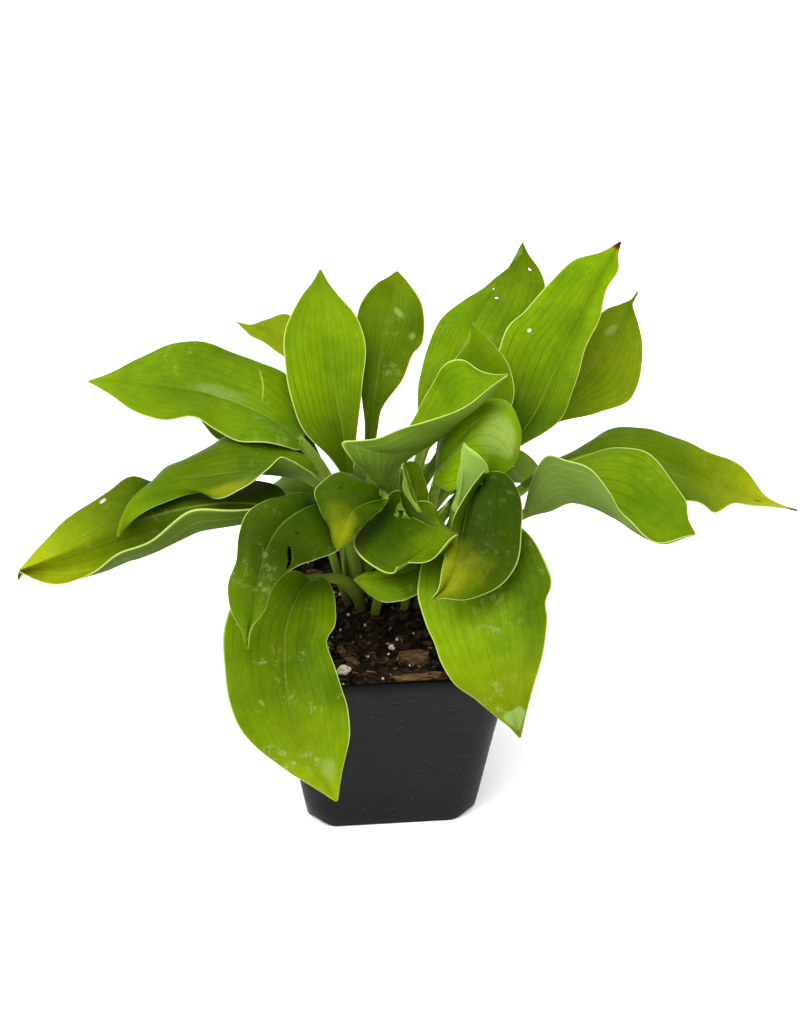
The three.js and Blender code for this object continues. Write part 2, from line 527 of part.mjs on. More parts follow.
// Upper point and the direction through a leaf that is given by its margins. The arch is greatest half
// way across, where 4 q (1 - q) is 1.
function spannedPoint(leaf, curve, length, margins, u, side, q) {
  const t = bladePart(leaf, length, u);
  const middle = curve.getPointAt(u);
  const halves = [0, 1].map((i) => {
    const margin = margins[i];
    const span = margin.getPointAt(t).sub(middle);
    const along = curve.getTangentAt(u).multiplyScalar(leaf.blade * (1 - q));
    along.addScaledVector(margin.getTangentAt(t), margin.getLength() * q);
    const up = new THREE.Vector3().crossVectors(span, along).normalize().multiplyScalar(i === 0 ? -1 : 1);
    const bulge = threePoint(leaf.arch[i], t) * smooth(t / STALK_BLEND);
    return { span, along, up, bulge };
  });
  const { span, along, up, bulge } = halves[side < 0 ? 0 : 1];
  const point = middle.clone().addScaledVector(span, q);
  point.addScaledVector(up, bulge * 4 * q * (1 - q) + leafRipple(leaf, side, t, q));
  const through = new THREE.Vector3();
  for (const half of q > 0 ? [halves[side < 0 ? 0 : 1]] : halves) {
    const slope = half.span.clone().addScaledVector(half.up, half.bulge * 4 * (1 - 2 * q));
    const sign = half === halves[0] ? -1 : 1;
    through.add(slope.cross(half.along).normalize().multiplyScalar(sign));
  }
  return { point, through: through.normalize(), thickness: leafThickness(t, q) };
}

function leafPoint(leaf, curve, length, margins, u, side, q) {
  const onBlade = bladePart(leaf, length, u) > 0;
  if (margins && onBlade) {
    return spannedPoint(leaf, curve, length, margins, u, side, q);
  }
  return plainPoint(leaf, curve, length, u, side, q);
}

function leafStations(leaf, length) {
  const foot = 1 - leaf.blade / length;
  const stations = [];
  for (let i = 0; i < STALK_RINGS; i += 1) {
    stations.push((foot * i) / STALK_RINGS);
  }
  for (let i = 0; i <= BLADE_RINGS; i += 1) {
    const even = i / BLADE_RINGS;
    stations.push(mix(foot, 1, even - STATION_SHIFT * Math.sin(2 * Math.PI * even)));
  }
  return stations;
}

function leafGeometry(leaf) {
  const curve = leafCurve(leaf);
  const length = curve.getLength();
  const margins = leaf.half ? null : leafMargins(leaf, curve, length);
  const sides = leaf.blade < SMALL_BLADE ? SMALL_ACROSS : WIDE_ACROSS;
  const left = sides.slice(1).reverse().map((q) => [-1, q]);
  const right = sides.map((q) => [1, q]);
  const across = [...left, ...right];
  const count = across.length;
  const positions = [];
  const stations = leafStations(leaf, length);
  for (const u of stations) {
    const row = across.map(([side, q]) => leafPoint(leaf, curve, length, margins, u, side, q));
    for (const { point } of row) {
      positions.push(point.x, point.y, point.z);
    }
    for (const { point, through, thickness } of row) {
      const below = point.clone().addScaledVector(through, -thickness);
      positions.push(below.x, below.y, below.z);
    }
  }
  return toGeometry(positions, leafTriangles(stations.length, count));
}

// Both faces are split along the same diagonals.
function leafTriangles(rows, count) {
  const triangles = [];
  const upper = (row, i) => row * count * 2 + i;
  const lower = (row, i) => row * count * 2 + count + i;
  for (let row = 0; row + 1 < rows; row += 1) {
    for (let i = 0; i + 1 < count; i += 1) {
      const a = [row, i];
      const b = [row, i + 1];
      const c = [row + 1, i + 1];
      const d = [row + 1, i];
      const halves = i < (count - 1) / 2 ? [[a, b, c], [a, c, d]] : [[a, b, d], [b, c, d]];
      for (const [p, q, r] of halves) {
        triangles.push(upper(...p), upper(...q), upper(...r));
        triangles.push(lower(...p), lower(...r), lower(...q));
      }
    }
    const last = count - 1;
    triangles.push(upper(row, 0), upper(row + 1, 0), lower(row + 1, 0));
    triangles.push(upper(row, 0), lower(row + 1, 0), lower(row, 0));
    triangles.push(upper(row, last), lower(row, last), lower(row + 1, last));
    triangles.push(upper(row, last), lower(row + 1, last), upper(row + 1, last));
  }
  for (let i = 0; i + 1 < count; i += 1) {
    triangles.push(upper(0, i + 1), upper(0, i), lower(0, i));
    triangles.push(upper(0, i + 1), lower(0, i), lower(0, i + 1));
    const end = rows - 1;
    triangles.push(upper(end, i), upper(end, i + 1), lower(end, i));
    triangles.push(upper(end, i + 1), lower(end, i + 1), lower(end, i));
  }
  return triangles;
}

// ---------------------------------------------------------------- rings of rounded squares
function roundedSquare(half, radius, z) {
  const ring = [];
  const core = half - radius;
  const corners = [[1, 1, 0], [-1, 1, 90], [-1, -1, 180], [1, -1, 270]];
  for (const [sx, sy, from] of corners) {
    for (let i = 0; i <= CORNER_STEPS; i += 1) {
      const angle = (from + (90 * i) / CORNER_STEPS) * DEGREE;
      ring.push([sx * core + radius * Math.cos(angle), sy * core + radius * Math.sin(angle), z]);
    }
  }
  return ring;
}

// Closed body from rings that all have the same number of points: the first ring is closed by a lower cap
// and the last one by an upper cap, each with its own middle point.
function stackRings(rings, lowerMiddle, upperMiddle) {
  const count = rings[0].length;
  const positions = rings.flat(2);
  const triangles = [];
  for (let row = 0; row + 1 < rings.length; row += 1) {
    for (let i = 0; i < count; i += 1) {
      const a = row * count + i;
      const b = row * count + ((i + 1) % count);
      triangles.push(a, b, b + count, a, b + count, a + count);
    }
  }
  const lower = rings.length * count;
  const upper = lower + 1;
  positions.push(...lowerMiddle, ...upperMiddle);
  const last = (rings.length - 1) * count;
  for (let i = 0; i < count; i += 1) {
    const next = (i + 1) % count;
    triangles.push(lower, next, i, upper, last + i, last + next);
  }
  return toGeometry(positions, triangles);
}

// ---------------------------------------------------------------- pot
function wallHalf(z) {
  return mix(POT_BASE_HALF, POT_TOP_HALF - RIM_STEP, z / POT_HEIGHT);
}

function cornerRadius(z) {
  return mix(POT_BASE_CORNER, POT_TOP_CORNER, z / POT_HEIGHT);
}

function potRing(z, inset) {
  return roundedSquare(wallHalf(z) - inset, cornerRadius(z) - Math.max(0, inset), z);
}

function potNotch(angle) {
  const notch = new THREE.BoxGeometry(NOTCH_DEPTH, NOTCH_WIDTH, NOTCH_HEIGHT * 2);
  const reach = (POT_BASE_HALF - POT_BASE_CORNER) * Math.SQRT2 + POT_BASE_CORNER;
  notch.translate(reach, 0, 0);
  notch.rotateZ(angle * DEGREE);
  return toSolid(notch);
}

function potGeometry() {
  const bandFoot = POT_HEIGHT - RIM_BAND;
  const rings = [
    potRing(0, FOOT_ROUND),
    potRing(FOOT_ROUND, 0),
    potRing(bandFoot - RIM_STEP, 0),
    potRing(bandFoot, -RIM_STEP),
    potRing(POT_HEIGHT - LIP_ROUND, -RIM_STEP),
    potRing(POT_HEIGHT, LIP_ROUND - RIM_STEP),
    potRing(POT_HEIGHT, POT_WALL - LIP_ROUND),
    potRing(POT_HEIGHT - LIP_ROUND, POT_WALL),
    potRing(POT_FLOOR, POT_WALL),
  ];
  let solid = toSolid(stackRings(rings, [0, 0, 0], [0, 0, POT_FLOOR]));
  for (const angle of [45, 135, 225, 315]) {
    solid = solid.subtract(potNotch(angle));
  }
  return fromSolid(solid);
}

// ---------------------------------------------------------------- soil
function soilHeight(x, y) {
  const distance = Math.hypot(x - CROWN[0], y - CROWN[1]);
  const mound = SOIL_CROWN * smooth(1 - distance / MOUND_REACH);
  const even = Math.sin(x * BUMP_ALONG[0] + 1) * Math.cos(y * BUMP_ALONG[1]);
  const bumps = even + BUMP_SLANT_SHARE * Math.sin(x * BUMP_SLANT[0] - y * BUMP_SLANT[1]);
  return SOIL_EDGE + mound + SOIL_BUMP * bumps;
}

function soilBlock() {
  const inset = POT_WALL + GAP;
  const floor = POT_FLOOR + GAP;
  const rings = [potRing(floor, inset), potRing(SOIL_EDGE - SOIL_BUMP * 2, inset)];
  for (let i = 0; i < SOIL_RINGS; i += 1) {
    const scale = 1 - i / SOIL_RINGS;
    const flat = roundedSquare(wallHalf(SOIL_EDGE) - inset, cornerRadius(SOIL_EDGE) - inset, 0);
    rings.push(flat.map(([x, y]) => {
      const px = x * scale + CROWN[0] * (1 - scale);
      const py = y * scale + CROWN[1] * (1 - scale);
      return [px, py, soilHeight(px, py)];
    }));
  }
  const middle = [CROWN[0], CROWN[1], soilHeight(...CROWN)];
  return toSolid(stackRings(rings, [0, 0, floor], middle));
}

// A plain round hole along the foot of the stalk.
function stalkSocket(leaf) {
  const curve = leafCurve(leaf);
  const length = curve.getLength();
  const { tangent, normal } = leafFrame(leaf, curve, length, 0);
  const radius = stalkHalf(leaf) * STALK_FOOT + SOCKET_CLEARANCE;
  const socket = new THREE.CylinderGeometry(radius, radius, SOCKET_LENGTH, SOCKET_SIDES);
  socket.translate(0, SOCKET_LENGTH / 2 - GAP, 0);
  socket.applyQuaternion(new THREE.Quaternion().setFromUnitVectors(new THREE.Vector3(0, 1, 0), tangent));
  const foot = curve.getPointAt(0).addScaledVector(normal, -SOCKET_SHIFT);
  socket.translate(foot.x, foot.y, foot.z);
  return toSolid(socket);
}

// ---------------------------------------------------------------- chips and lumps that lie on the soil
function seededNoise(seed) {
  const value = Math.sin(seed * NOISE_STRETCH) * NOISE_SCALE;
  return value - Math.floor(value) - 0.5;
}

function placeChip(geometry, chip, grow) {
  const [length, width, height] = chip.size;
  geometry.scale(length / 2 + grow, width / 2 + grow, height / 2 + grow);
  geometry.rotateY(chip.tilt * DEGREE);
  geometry.rotateZ(chip.turn * DEGREE);
  const [x, y] = chip.at;
  geometry.translate(x, y, soilHeight(x, y) + height * CHIP_RISE);
  return geometry;
}

// A torn piece of bark: a slab with uneven sides, or a lump with flat facets.
function chipGeometry(chip, grow = 0) {
  const slab = new THREE.BoxGeometry(2, 2, 2, ...CHIP_FACETS);
  const shape = chip.lump ? new THREE.IcosahedronGeometry(1, 1) : slab;
  shape.deleteAttribute("normal");
  shape.deleteAttribute("uv");
  const body = mergeVertices(shape, WELD);
  const points = body.attributes.position;
  for (let i = 0; i < points.count; i += 1) {
    const x = points.getX(i);
    const shrink = 1 + CHIP_UNEVEN * seededNoise(chip.seed * CHIP_SEED_STEP + i);
    const taper = chip.lump ? 1 : 1 - CHIP_TAPER * x * x;
    const bend = chip.lump ? 0 : chip.bend * (x * x - 0.5);
    points.setXYZ(i, x * shrink, points.getY(i) * shrink * taper + bend, points.getZ(i) * shrink);
  }
  return placeChip(body, chip, grow);
}

function soilGeometry() {
  let solid = soilBlock();
  for (const leaf of LEAVES) {
    solid = solid.subtract(stalkSocket(leaf));
  }
  for (const chip of CHIPS) {
    solid = solid.subtract(toSolid(chipGeometry(chip, GAP)));
  }
  const pieces = solid.decompose().sort((p, q) => q.volume() - p.volume());
  return fromSolid(pieces[0]);
}

// ---------------------------------------------------------------- assembly
const group = new THREE.Group();
group.name = "potted_hosta";

function addNode(name, geometry, color, roughness) {
  const material = new THREE.MeshStandardMaterial({ color, roughness, metalness: 0 });
  material.name = `${name}_material`;
  const mesh = new THREE.Mesh(geometry, material);
  mesh.name = name;
  group.add(mesh);
}

addNode("pot", potGeometry(), POT_GREY, POT_ROUGHNESS);
addNode("soil", soilGeometry(), SOIL_BROWN, SOIL_ROUGHNESS);
for (const leaf of LEAVES) {
  addNode(leaf.name, leafGeometry(leaf), LEAF_GREEN, LEAF_ROUGHNESS);
}
for (const chip of CHIPS) {
  addNode(chip.name, chipGeometry(chip), chip.lump ? PERLITE_WHITE : BARK_BROWN, CHIP_ROUGHNESS);
}

export default group;
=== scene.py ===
"""Potted hosta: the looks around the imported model. Metres, +Z up, the pot's front face towards -Y."""
import math
import random

import bmesh
import bpy
import numpy as np
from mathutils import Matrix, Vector


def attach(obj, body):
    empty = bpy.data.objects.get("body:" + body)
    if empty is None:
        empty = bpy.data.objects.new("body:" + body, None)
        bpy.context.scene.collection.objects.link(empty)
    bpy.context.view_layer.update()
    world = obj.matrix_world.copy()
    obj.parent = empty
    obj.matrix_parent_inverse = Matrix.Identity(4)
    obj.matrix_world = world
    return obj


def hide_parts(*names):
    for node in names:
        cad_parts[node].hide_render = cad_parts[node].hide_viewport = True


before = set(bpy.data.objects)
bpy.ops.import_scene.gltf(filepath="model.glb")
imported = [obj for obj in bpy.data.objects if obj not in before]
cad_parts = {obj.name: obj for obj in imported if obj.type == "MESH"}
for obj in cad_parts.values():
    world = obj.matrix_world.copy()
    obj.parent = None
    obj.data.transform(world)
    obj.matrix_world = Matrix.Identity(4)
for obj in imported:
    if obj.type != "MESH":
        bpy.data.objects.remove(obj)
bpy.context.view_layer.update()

MM = 0.001
DEGREE = math.pi / 180
ROUND = 2 * math.pi

# ------------------------------------------------------------------ camera
CAMERA_AZIMUTH = -4.8  # degrees, turned a little to the left of the front
CAMERA_HEIGHT_ANGLE = 35.0  # degrees above the level
CAMERA_TARGET = (7.0, 0.0, 163.0)  # this and all lengths down to the studio are in millimetres
CAMERA_DISTANCE = 1300.0
FOCAL_PIXELS = 2673.0  # focal length in pixels of the 1024 pixel high picture
PICTURE_HEIGHT = 1024.0
SENSOR = 36.0
CLIP_END = 50.0  # metres

# ------------------------------------------------------------------ pot
POT_HEIGHT = 104.0
POT_TOP_HALF = 60.0
POT_BASE_HALF = 43.0
POT_TOP_CORNER = 17.0
POT_BASE_CORNER = 14.0
POT_WALL = 1.5
POT_FLOOR = 1.8
RIM_BAND = 8.5
RIM_STEP = 0.9
FOOT_ROUND = 0.8
LIP_ROUND = 0.5
NOTCH_HEIGHT = 3.0
NOTCH_FLAT = 14.0  # the floor is flat farther in than this
NOTCH_SLOPE = 6.0
CORNER_SPREAD = 0.20  # half the angle over which a corner is raised, in radians
CORNER_STEPS = 14
SIDE_STEPS = 10
WALL_RINGS = 20
WALL_DENT = 0.5  # how far the sides are drawn in at half height
WALL_RIPPLE = 0.04
WALL_START = 3.2  # the dent starts this far over the rounded foot
WALL_WAVE_X = (0.05, 0.03)  # waves of the unevenness, in radians for each millimetre across and up
WALL_WAVE_Y = (0.04, 0.05)
SHARP_ANGLE = 38.0

# ------------------------------------------------------------------ soil
SOIL_EDGE = 96.0
SOIL_CROWN = 11.0
MOUND_REACH = 48.0
SOIL_BUMP = 0.7
BUMP_ALONG = (0.31, 0.27)  # waves of the unevenness, in radians for each millimetre of x and y
BUMP_SLANT = (0.13, 0.47)
BUMP_SLANT_SHARE = 0.6
CROWN = (-1.0, 20.0)
SOIL_INSET = POT_WALL + 0.25
SOIL_RINGS = 44
GROUND_WAVES = (9.0, 5.3, 3.1, 1.9)  # lengths of the waves of the crumbly relief
GROUND_HEIGHT = 0.11
GROUND_POWER = 0.7  # how the height grows with the length
GROUND_TURN = (0.4, 1.1)  # the first wave's turn in radians, and the step to the next
GROUND_BEND = (2, 0.37)  # how far and how often a wave swings to the side
GROUND_SHIFT = 1.7

# ------------------------------------------------------------------ leaves
BLADE_THICK = 0.8
MARGIN_THICK = 0.45
MARGIN_START = 0.7  # part of the half width from which the blade gets thinner
KEEL_THICK = 0.9
KEEL_REACH = 0.07
RIM_ROUND = 0.35  # how far the rounded margin stands out, as part of the thickness there
STALK_HALF = 2.5
STALK_FOOT = 0.82
FOOT_REACH = 0.25
STALK_EDGE = 1.1
STALK_BODY = 1.9
STALK_CHANNEL = 30.0
STALK_BLEND = 0.14
TIP_HALF = 0.45
TIP_DRAWN_IN = 0.4
TIP_POWER = 10
LOBE_POWER = 3
NO_ARCH = ((0, 0, 0), (0, 0, 0))
LEAST_CURL = 1e-4  # a curl of nothing would divide by nothing
LEAST_STEP = 1e-4
CURVE_DIVISIONS = 200
VEINS = 7  # side veins in each half of a blade
STEPS_PER_VEIN = 4
VEIN_DEPTH = 0.10
VEIN_WANDER = 0.22  # how far a vein leaves its lane, as part of the distance between two
VEIN_CYCLES = 1.3
VEIN_TWIST = 3.5
MIDRIB_CALM = 6.0  # the veins run straight within one part in this of the half width
VEIN_UNEVEN = 0.35  # part by which the depth varies from vein to vein
VEIN_CHANGE = 1.9
GROOVE_POWER = 1.5
VEIN_FADES = (6, 12)  # the veins fade out in one part in this of the blade at its tip, and at the midrib
RIPPLE = 0.3  # height of the small ripples, beside the wave of each leaf
MARGIN_RIPPLES = 2.7  # ripples for each wave, at the margin and over the blade
BLADE_RIPPLES = 1.3
RIPPLE_TWIST = 5
TROUGH_DEPTH = 0.45  # the upper face sinks by this over the midrib
TROUGH_REACH = 0.045
STALK_TO_ZERO = 0.999  # keeps the stalk's end below 0, where its blade begins
STALK_RINGS = 26
BLADE_RINGS = 84
STATION_SHIFT = 0.075  # how far the cross sections are drawn to the two ends of the blade

# path runs from the foot of the stalk to the tip, and blade is the length of the blade at its end. stalk is
# half the width of a thicker stalk. wave is the height, cycles and phases (left, right) of the margins, left
# and right as seen from the stalk. Most leaves have left and right as the points of their margins, and may
# have arch as how far the (left, right) half is pushed out of straight at the foot, middle and tip. The
# plainer ones have half as the greatest half widths, shape as the powers that place the widest part, left
# and right as the angles by which the halves are raised at the foot, middle and tip, curl as how much further
# they turn out to the margin, and lobe as how far the foot reaches back.
LEAVES = {
    "left_upper": dict(blade=112, wave=(1.4, 2.5, 0, 2), arch=((2, 2, 0), (2, 3, 0)),
     path=[(-15, 25, 87), (-18, 22, 119), (-25, 22, 167), (-40, 30, 188), (-57, 42, 196), (-80, 52, 202),
     (-105, 60, 204), (-126, 65, 204), (-142, 67, 204)],
     left=[(-40, 23, 187), (-56, 18, 195), (-70, 22, 195), (-81, 29, 197), (-90, 33, 201), (-103, 33, 201),
     (-121, 43, 202), (-133, 57, 203)],
     right=[(-33, 45, 184), (-35, 55, 191), (-44, 64, 204), (-58, 69, 208), (-70, 77, 212), (-86, 81, 217),
     (-100, 81, 214), (-113, 77, 211), (-130, 71, 207)]),
    "left_rear": dict(blade=83, wave=(1, 2, 0, 2),
     path=[(-12, 30, 87), (-18, 34, 129), (-29, 45, 160), (-43, 59, 168), (-60, 71, 171), (-80, 85, 171),
     (-93, 94, 171)],
     left=[(-39, 45, 164), (-58, 51, 166), (-73, 58, 167), (-81, 67, 167), (-87, 80, 169)],
     right=[(-33, 55, 171), (-48, 70, 177), (-67, 86, 178), (-83, 95, 175)]),
    "left_middle": dict(blade=112, wave=(2.2, 2.5, 1, 3), arch=((0, 0, 0), (2, 3, 0)),
     path=[(-16, 19, 87), (-18, 12, 119), (-20, 5, 159), (-32, 6, 178), (-48, 8, 183), (-67, 9, 185),
     (-87, 7, 185), (-102, 5, 185), (-116, -1, 182), (-126, -9, 174), (-130, -13, 166)],
     left=[(-37, -1, 190), (-44, -5, 200), (-51, -8, 206), (-57, -10, 198), (-67, -12, 189), (-77, -12, 185),
     (-86, -8, 184), (-93, -4, 182), (-105, -3, 178), (-119, -8, 174)],
     right=[(-35, 17, 186), (-54, 29, 189), (-76, 34, 189), (-91, 32, 184), (-103, 23, 181), (-112, 11, 177),
     (-122, 0, 180), (-128, -7, 173)]),
    "left_lower": dict(blade=138, wave=(1.6, 2.5, 2, 0), arch=((-3, -12, -5), (0, 2, 0)),
     path=[(-14, 13, 87), (-21, 4, 119), (-31, -3, 155), (-46, -4, 169), (-70, -4, 176), (-94, -4, 175),
     (-119, -5, 169), (-146, -8, 159), (-165, -10, 152), (-178, -12, 148)],
     left=[(-57, -15, 181), (-73, -22, 185), (-92, -24, 186), (-103, -25, 180), (-114, -25, 172),
     (-128, -25, 167), (-140, -26, 155), (-154, -22, 146), (-167, -16, 144)],
     right=[(-51, 8, 175), (-70, 18, 174), (-94, 24, 171), (-113, 20, 172), (-123, 19, 178), (-134, 15, 174),
     (-149, 9, 168), (-164, 1, 156)]),
    "left_back": dict(blade=72, wave=(1, 1.5, 0, 1), arch=((0, 0, 0), (1, 1, 0)),
     path=[(-5, 28, 87), (-11, 34, 129), (-25, 62, 187), (-35, 81, 201), (-46, 94, 206), (-57, 105, 207),
     (-67, 113, 207)],
     left=[(-33, 69, 195), (-43, 81, 204), (-51, 90, 206), (-59, 99, 205), (-63, 107, 205)],
     right=[(-26, 78, 197), (-32, 93, 209), (-41, 102, 216), (-53, 106, 211), (-61, 111, 206)]),
    "upright_left": dict(blade=104, wave=(0.8, 2, 0, 2),
     path=[(-10, 23, 87), (-11, 20, 129), (-16, 27, 167), (-18, 38, 186), (-21, 50, 204), (-23, 63, 221),
     (-24, 76, 236), (-25, 89, 249)],
     left=[(-25, 27, 178), (-36, 31, 190), (-42, 41, 202), (-45, 54, 216), (-44, 67, 228), (-35, 78, 241),
     (-29, 85, 245)],
     right=[(-13, 31, 180), (-10, 40, 194), (-7, 50, 209), (-5, 60, 222), (-9, 70, 233), (-17, 79, 240),
     (-22, 85, 245)]),
    "upright_middle": dict(blade=93, wave=(1, 2, 1, 3),
     path=[(0, 29, 87), (-1, 26, 129), (-5, 36, 176), (-2, 48, 194), (2, 63, 211), (7, 79, 225),
     (11, 91, 233), (14, 100, 240)],
     left=[(-7, 43, 189), (-8, 57, 204), (-9, 71, 218), (-6, 83, 231), (3, 92, 238), (9, 98, 238)],
     right=[(-1, 40, 185), (2, 47, 193), (13, 57, 203), (19, 66, 212), (24, 70, 216), (25, 82, 230),
     (19, 93, 237)]),
    "right_tall": dict(blade=118, wave=(1.5, 2.5, 0, 2), arch=((0, 1, 0), (0, 1, 0)),
     path=[(6, 26, 87), (8, 26, 129), (22, 40, 172), (34, 57, 194), (46, 75, 213), (60, 91, 228),
     (72, 103, 241), (78, 110, 248)],
     left=[(20, 47, 185), (21, 59, 198), (27, 73, 211), (36, 84, 222), (48, 92, 228), (61, 98, 233),
     (76, 104, 241), (78, 108, 245)],
     right=[(38, 43, 184), (55, 54, 194), (71, 67, 206), (83, 81, 218), (88, 93, 229), (86, 101, 237),
     (81, 108, 243)]),
    "right_big": dict(blade=130, wave=(1.5, 2.5, 2, 0), arch=((0, 1, 0), (1, 2, 0)),
     path=[(13, 26, 87), (19, 22, 125), (43, 22, 161), (59, 27, 175), (75, 38, 188), (88, 56, 202),
     (101, 76, 214), (115, 94, 230), (128, 110, 246)],
     left=[(57, 33, 183), (54, 44, 194), (60, 61, 208), (67, 73, 221), (77, 81, 226), (90, 91, 235),
     (103, 100, 242), (118, 106, 243)],
     right=[(68, 25, 181), (82, 29, 187), (91, 36, 191), (99, 50, 203), (104, 61, 212), (113, 75, 223),
     (118, 87, 232), (125, 94, 238), (126, 103, 242)]),
    "right_far_back": dict(blade=115, wave=(1.2, 2.5, 0, 1), arch=((0, 0, 0), (1, 2, 0)),
     path=[(9, 32, 87), (17, 33, 125), (47, 42, 161), (61, 47, 166), (85, 61, 177), (107, 77, 186),
     (124, 96, 198), (133, 107, 207), (139, 114, 214)],
     left=[(73, 60, 174), (91, 77, 187), (110, 96, 202), (121, 105, 209), (130, 109, 210), (136, 112, 211)],
     right=[(77, 54, 168), (95, 58, 173), (115, 66, 173), (132, 74, 175), (139, 88, 189), (138, 102, 201),
     (136, 110, 210)]),
    "center_back": dict(blade=68, wave=(1, 2, 0, 1), arch=((0, 1, 0), (0, 1, 0)),
     path=[(-1, 24, 87), (4, 19, 129), (21, 21, 167), (29, 25, 178), (39, 33, 196), (45, 40, 214),
     (46, 45, 228), (46, 50, 238)],
     left=[(29, 30, 193), (30, 36, 207), (37, 43, 221), (45, 47, 231)],
     right=[(48, 26, 190), (63, 32, 197), (66, 37, 206), (63, 42, 220), (55, 47, 230), (49, 49, 235)]),
    "center_folded": dict(blade=90, wave=(1.2, 2, 0, 1), arch=((0, -2, 0), (-1, -4, 0)),
     path=[(-5, 20, 87), (-4, 11, 129), (-3, 1, 166), (-1, 0, 177), (5, 2, 188), (14, 3, 196), (26, 3, 204),
     (39, 2, 217), (49, -1, 230), (57, -6, 243)],
     left=[(4, 14, 183), (10, 24, 191), (18, 31, 203), (25, 32, 215), (33, 28, 230), (39, 23, 234),
     (46, 10, 235), (52, 2, 238)],
     right=[(-11, -4, 191), (-17, -6, 201), (-21, -6, 210), (-14, -7, 211), (-4, -8, 212), (10, -9, 218),
     (28, -10, 225), (40, -9, 231), (50, -7, 238)]),
    "center_arching": dict(blade=86, wave=(0.8, 2, 0, 2), arch=((0, 2, 0), (0, 3, 0)),
     path=[(8, 20, 87), (11, 13, 119), (21, 3, 157), (24, 5, 172), (30, 6, 189), (39, 5, 204), (48, -1, 216),
     (56, -9, 219), (60, -16, 213), (59, -22, 202)],
     left=[(26, 12, 183), (28, 16, 195), (37, 17, 208), (48, 14, 217), (57, 7, 220), (62, -3, 219),
     (64, -13, 213), (62, -20, 207)],
     right=[(23, 0, 180), (28, -5, 178), (37, -11, 184), (46, -17, 191), (54, -22, 198)]),
    "center_drooping": dict(blade=79, wave=(1.2, 2, 0, 2), arch=((1, 4, 0), (0, 1, 0)),
     path=[(11, 11, 87), (21, -1, 119), (34, -15, 154), (41, -23, 185), (43, -29, 198), (37, -38, 195),
     (32, -49, 184), (28, -62, 177), (24, -67, 169), (16, -71, 162)],
     left=[(48, -26, 201), (56, -27, 199), (61, -33, 195), (62, -42, 189), (59, -54, 181), (55, -64, 173),
     (46, -71, 167), (32, -75, 164), (21, -74, 165)],
     right=[(45, -32, 206), (37, -38, 202), (29, -47, 194), (26, -51, 187), (24, -56, 182), (22, -62, 177),
     (19, -71, 169)]),
    "center_pale": dict(blade=44, wave=(0.6, 1.5, 0, 2),
     path=[(6, 14, 87), (13, 5, 121), (25, -8, 147), (32, -12, 164), (33, -15, 174), (35, -18, 190),
     (35, -21, 204), (35, -23, 217)],
     left=[(39, -15, 176), (45, -20, 189), (47, -23, 201), (43, -25, 210), (37, -24, 215)],
     right=[(33, -15, 182), (33, -18, 195), (35, -21, 209)]),
    "front_small": dict(blade=41, wave=(0.6, 2, 0, 2), arch=((0, 1, 0), (2, 3, 0)),
     path=[(-5, 12, 87), (-8, 9, 123), (-10, 4, 160), (-6, -1, 177), (-2, -14, 181), (-9, -19, 183),
     (-17, -27, 184), (-22, -33, 179), (-25, -37, 175), (-26, -39, 170)],
     left=[(-2, -18, 180), (-7, -25, 179), (-15, -32, 177), (-19, -37, 174), (-23, -38, 171)],
     right=[(-5, -9, 185), (-13, -7, 189), (-21, -7, 193), (-29, -12, 193), (-35, -17, 190), (-34, -24, 185),
     (-30, -32, 179), (-28, -37, 174)]),
    "front_center": dict(blade=59, wave=(1.2, 2, 0, 2), arch=((0, 0, 0), (0, -2, 0)),
     path=[(1, 11, 87), (2, 3, 124), (4, -7, 155), (6, -14, 172), (11, -22, 175), (17, -34, 179),
     (23, -50, 187), (28, -64, 194)],
     left=[(9, -11, 172), (8, -6, 175), (7, -4, 182), (7, -4, 189), (8, -6, 196), (9, -9, 191), (8, -12, 185),
     (11, -17, 182), (19, -28, 187), (23, -39, 185), (26, -52, 189)],
     right=[(4, -11, 170), (5, -6, 172), (8, -4, 175), (7, -3, 178), (3, -2, 177), (-1, -3, 173),
     (-8, -7, 168), (-17, -23, 163), (-15, -35, 163), (-7, -45, 162), (-3, -48, 162), (0, -50, 165),
     (1, -51, 169), (4, -52, 171), (12, -56, 173), (17, -59, 177), (21, -61, 183), (24, -62, 188)]),
    "front_low": dict(blade=35, wave=(0.8, 2, 0, 2), arch=((0, 2, 0), (0, 1, 0)),
     path=[(-5, 6, 87), (-4, -5, 114), (2, -18, 140), (16, -34, 155), (6, -37, 154), (-2, -38, 153),
     (-11, -38, 152), (-18, -38, 152)],
     left=[(13, -45, 148), (5, -50, 147), (-3, -48, 145), (-10, -45, 146), (-15, -41, 148)],
     right=[(15, -26, 159), (7, -30, 159), (-2, -33, 157), (-10, -35, 154)]),
    "front_right": dict(blade=102, wave=(1.6, 3, 0, 2), arch=((1, 2, 0), (1, 3, 0)),
     path=[(20, 4, 87), (23, -9, 116), (25, -21, 147), (36, -30, 163), (41, -47, 162), (43, -64, 152),
     (45, -80, 141), (49, -95, 126), (54, -109, 108)],
     left=[(44, -28, 169), (55, -30, 175), (64, -37, 175), (70, -51, 170), (73, -62, 161), (70, -68, 156),
     (70, -76, 151), (66, -89, 140), (59, -102, 125)],
     right=[(28, -29, 167), (16, -36, 163), (12, -48, 155), (13, -64, 144), (18, -77, 136), (27, -89, 124),
     (42, -101, 116), (49, -107, 113)]),
    "front_left_low": dict(blade=121, stalk=3.3, wave=(1.6, 3, 0, 2), arch=((2, 3, 0), (1, 3, 0)),
     path=[(-11, 8, 87), (-13, 2, 108), (-19, -5, 124), (-27, -14, 136), (-37, -22, 141), (-44, -31, 140),
     (-51, -46, 133), (-53, -62, 124), (-52, -81, 112), (-46, -96, 95), (-32, -110, 76)],
     left=[(-31, -23, 142), (-27, -38, 136), (-28, -49, 133), (-33, -57, 129), (-30, -69, 123),
